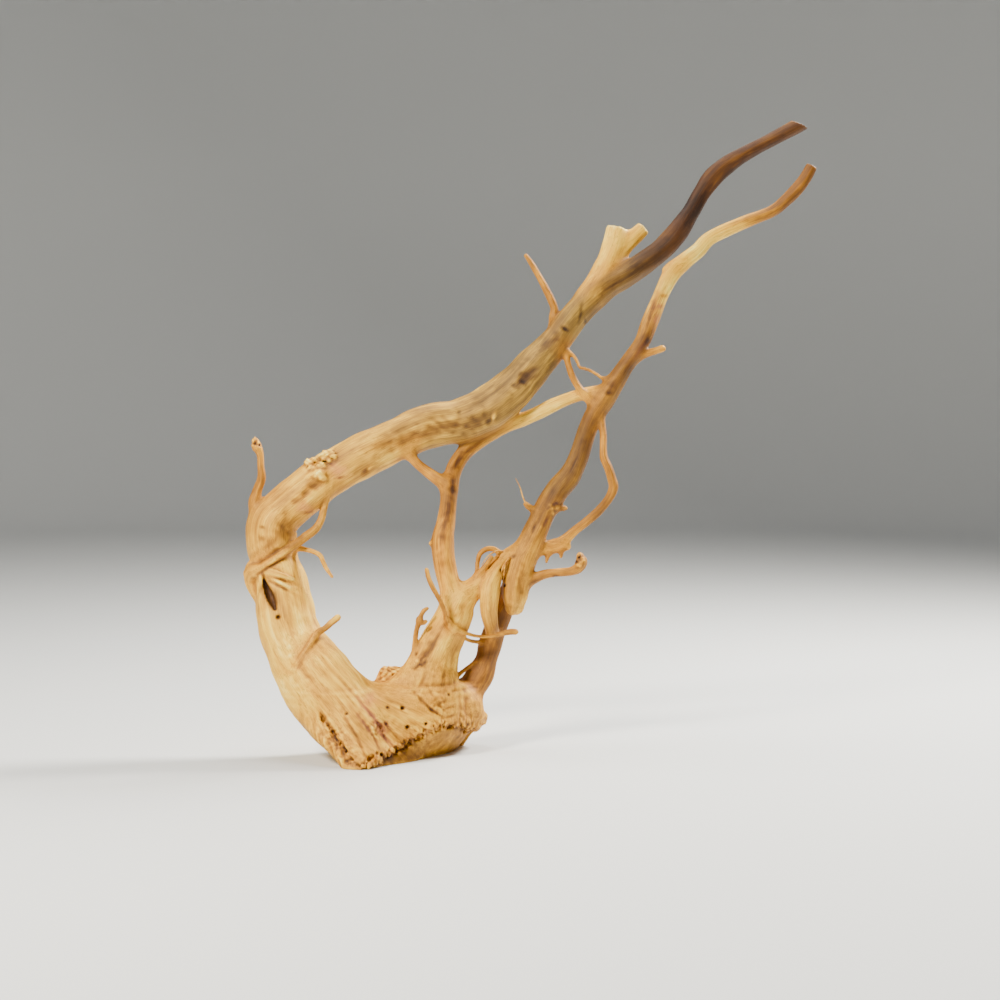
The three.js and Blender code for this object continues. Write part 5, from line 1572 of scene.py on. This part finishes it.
bump = add_node(tree, "ShaderNodeBump",
                {"Strength": 0.5, "Distance": 0.0007, "Height": grain_height})
tree.links.new(bump.outputs[0], shader.inputs["Normal"])

# %% The finish of the splinters and hair roots
splinter_coat.use_nodes = True
tree = splinter_coat.node_tree
shader = tree.nodes["Principled BSDF"]
spot = add_node(tree, "ShaderNodeTexCoord").outputs["Object"]
noise = add_node(tree, "ShaderNodeTexNoise", {"Vector": spot, "Scale": 260.0, "Detail": 3.0})
tree.links.new(ramp(tree, noise.outputs[0], [
    (0.3, paint(132, 78, 22)), (0.5, paint(196, 134, 40)), (0.7, paint(232, 180, 70))]),
    shader.inputs["Base Color"])
shader.inputs["Roughness"].default_value = 0.7
shader.inputs["Specular IOR Level"].default_value = 0.3
fine_noise = add_node(tree, "ShaderNodeTexNoise", {"Vector": spot, "Scale": 1400.0})
bump = add_node(tree, "ShaderNodeBump", {"Strength": 0.4, "Distance": 0.0003,
                                         "Height": fine_noise.outputs[0]})
tree.links.new(bump.outputs[0], shader.inputs["Normal"])

# %% [markdown]
# ## Hand the pieces to the frame
# The dressed wood takes the place of the imported solid, which stays behind for the physics.
# The splinters and hair roots ride along with it.

# %% Replace and ride
for piece in (wood, splinter_bed, hair_roots):
    piece.data.polygons.foreach_set("use_smooth", np.full(len(piece.data.polygons), True))
    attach(piece, "root")
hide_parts("driftwood")

# %% [markdown]
# ## Camera, floor and light
# The camera stands where the drawing's eye is, and is aimed so that the drawing lands where
# it lies in the photograph. A small key lamp stands high in front on the left, a stronger one
# behind on the right brightens the rims, and a large soft one hangs above. The floor is a
# round sweep that bends up into a wall all round.

# %% Set the camera
PHOTO_SIDE = 1000.0  # pixels
MM_PER_PIXEL = 0.78  # in the plane of the crown's toe
EYE_PIXEL = (472.6, 397.4)  # the pixel straight ahead of the eye, from the upper left corner
camera_data = bpy.data.cameras.new("camera")
camera_data.sensor_width = 36.0
focal_pixels = EYE_DISTANCE / MM_PER_PIXEL
camera_data.lens = camera_data.sensor_width * focal_pixels / PHOTO_SIDE
camera = bpy.data.objects.new("camera", camera_data)
bpy.context.scene.collection.objects.link(camera)
eye = Vector((EYE_ACROSS - FOOT_ACROSS, -EYE_DISTANCE - FOOT_BACK, EYE_UP)) * MM
aim = Vector(((PHOTO_SIDE / 2 - EYE_PIXEL[0]) / focal_pixels, 1.0,
              (EYE_PIXEL[1] - PHOTO_SIDE / 2) / focal_pixels))
camera.location = eye
camera.rotation_mode = "QUATERNION"
camera.rotation_quaternion = aim.to_track_quat("-Z", "Y")
camera_data.clip_start, camera_data.clip_end = 0.05, 50.0
bpy.context.scene.camera = camera

# %% Lay the floor and hang the lamps
FLOOR_RADIUS, BEND_RADIUS, WALL_TOP, FLOOR_SIDES = 2.8, 0.9, 2.2, 64
sweep = [(FLOOR_RADIUS, 0.0)]  # the sweep's profile from the flat floor on: radius, height
sweep += [(FLOOR_RADIUS + BEND_RADIUS * math.sin(turn), BEND_RADIUS * (1 - math.cos(turn)))
          for turn in np.linspace(0, math.pi / 2, 13)[1:]]
sweep.append((FLOOR_RADIUS + BEND_RADIUS, WALL_TOP))
directions = 2 * math.pi * np.arange(FLOOR_SIDES) / FLOOR_SIDES
rings = [[(radius * math.cos(a), radius * math.sin(a), height) for a in directions]
         for radius, height in sweep]
floor_points = [(0.0, 0.0, 0.0)] + [place for ring in rings for place in ring]
floor_faces = [(0, 1 + side, 1 + (side + 1) % FLOOR_SIDES) for side in range(FLOOR_SIDES)]
for ring in range(len(rings) - 1):
    for side in range(FLOOR_SIDES):
        a, b = (1 + ring * FLOOR_SIDES + s for s in (side, (side + 1) % FLOOR_SIDES))
        floor_faces.append((a, a + FLOOR_SIDES, b + FLOOR_SIDES, b))
floor_mesh = bpy.data.meshes.new("floor")
floor_mesh.from_pydata(floor_points, [], floor_faces)
floor_mesh.polygons.foreach_set("use_smooth", np.full(len(floor_faces), True))
floor = bpy.data.objects.new("floor", floor_mesh)
bpy.context.scene.collection.objects.link(floor)
floor_coat = bpy.data.materials.new("pale floor")
floor_coat.use_nodes = True
floor_shader = floor_coat.node_tree.nodes["Principled BSDF"]
floor_shader.inputs["Base Color"].default_value = paint(210, 212, 212)
floor_shader.inputs["Roughness"].default_value = 0.7
floor_mesh.materials.append(floor_coat)
floor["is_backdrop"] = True

LAMPS = [  # name, place, size, power, colour
    ("key lamp", (-0.7, -0.85, 1.1), 0.35, 44.0, (1.0, 0.93, 0.8)),
    ("rim lamp", (0.95, 0.5, 1.1), 0.4, 68.0, (1.0, 0.96, 0.87)),
    ("top lamp", (-0.1, 0.3, 1.7), 0.6, 18.0, (1.0, 1.0, 1.0)),
]
lit_place = Vector((0.06, 0.03, 0.24))
for name, place, size, power, tint in LAMPS:
    lamp_data = bpy.data.lights.new(name, "AREA")
    lamp_data.shape = "DISK"
    lamp_data.size = size
    lamp_data.energy = power
    lamp_data.color = tint
    lamp = bpy.data.objects.new(name, lamp_data)
    lamp.location = place
    lamp.visible_camera = False
    lamp.rotation_mode = "QUATERNION"
    lamp.rotation_quaternion = (lit_place - Vector(place)).to_track_quat("-Z", "Y")
    bpy.context.scene.collection.objects.link(lamp)
world = bpy.data.worlds.new("studio")
bpy.context.scene.world = world
world.use_nodes = True
world.node_tree.nodes["Background"].inputs["Color"].default_value = (0.93, 0.95, 1.0, 1.0)
world.node_tree.nodes["Background"].inputs["Strength"].default_value = 0.15

# %% Note the sizes and finish
visual_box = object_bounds()
print("visual box:", [round(v, 3) for corner in visual_box for v in corner],
      "in", round(time.time() - started, 1), "s")
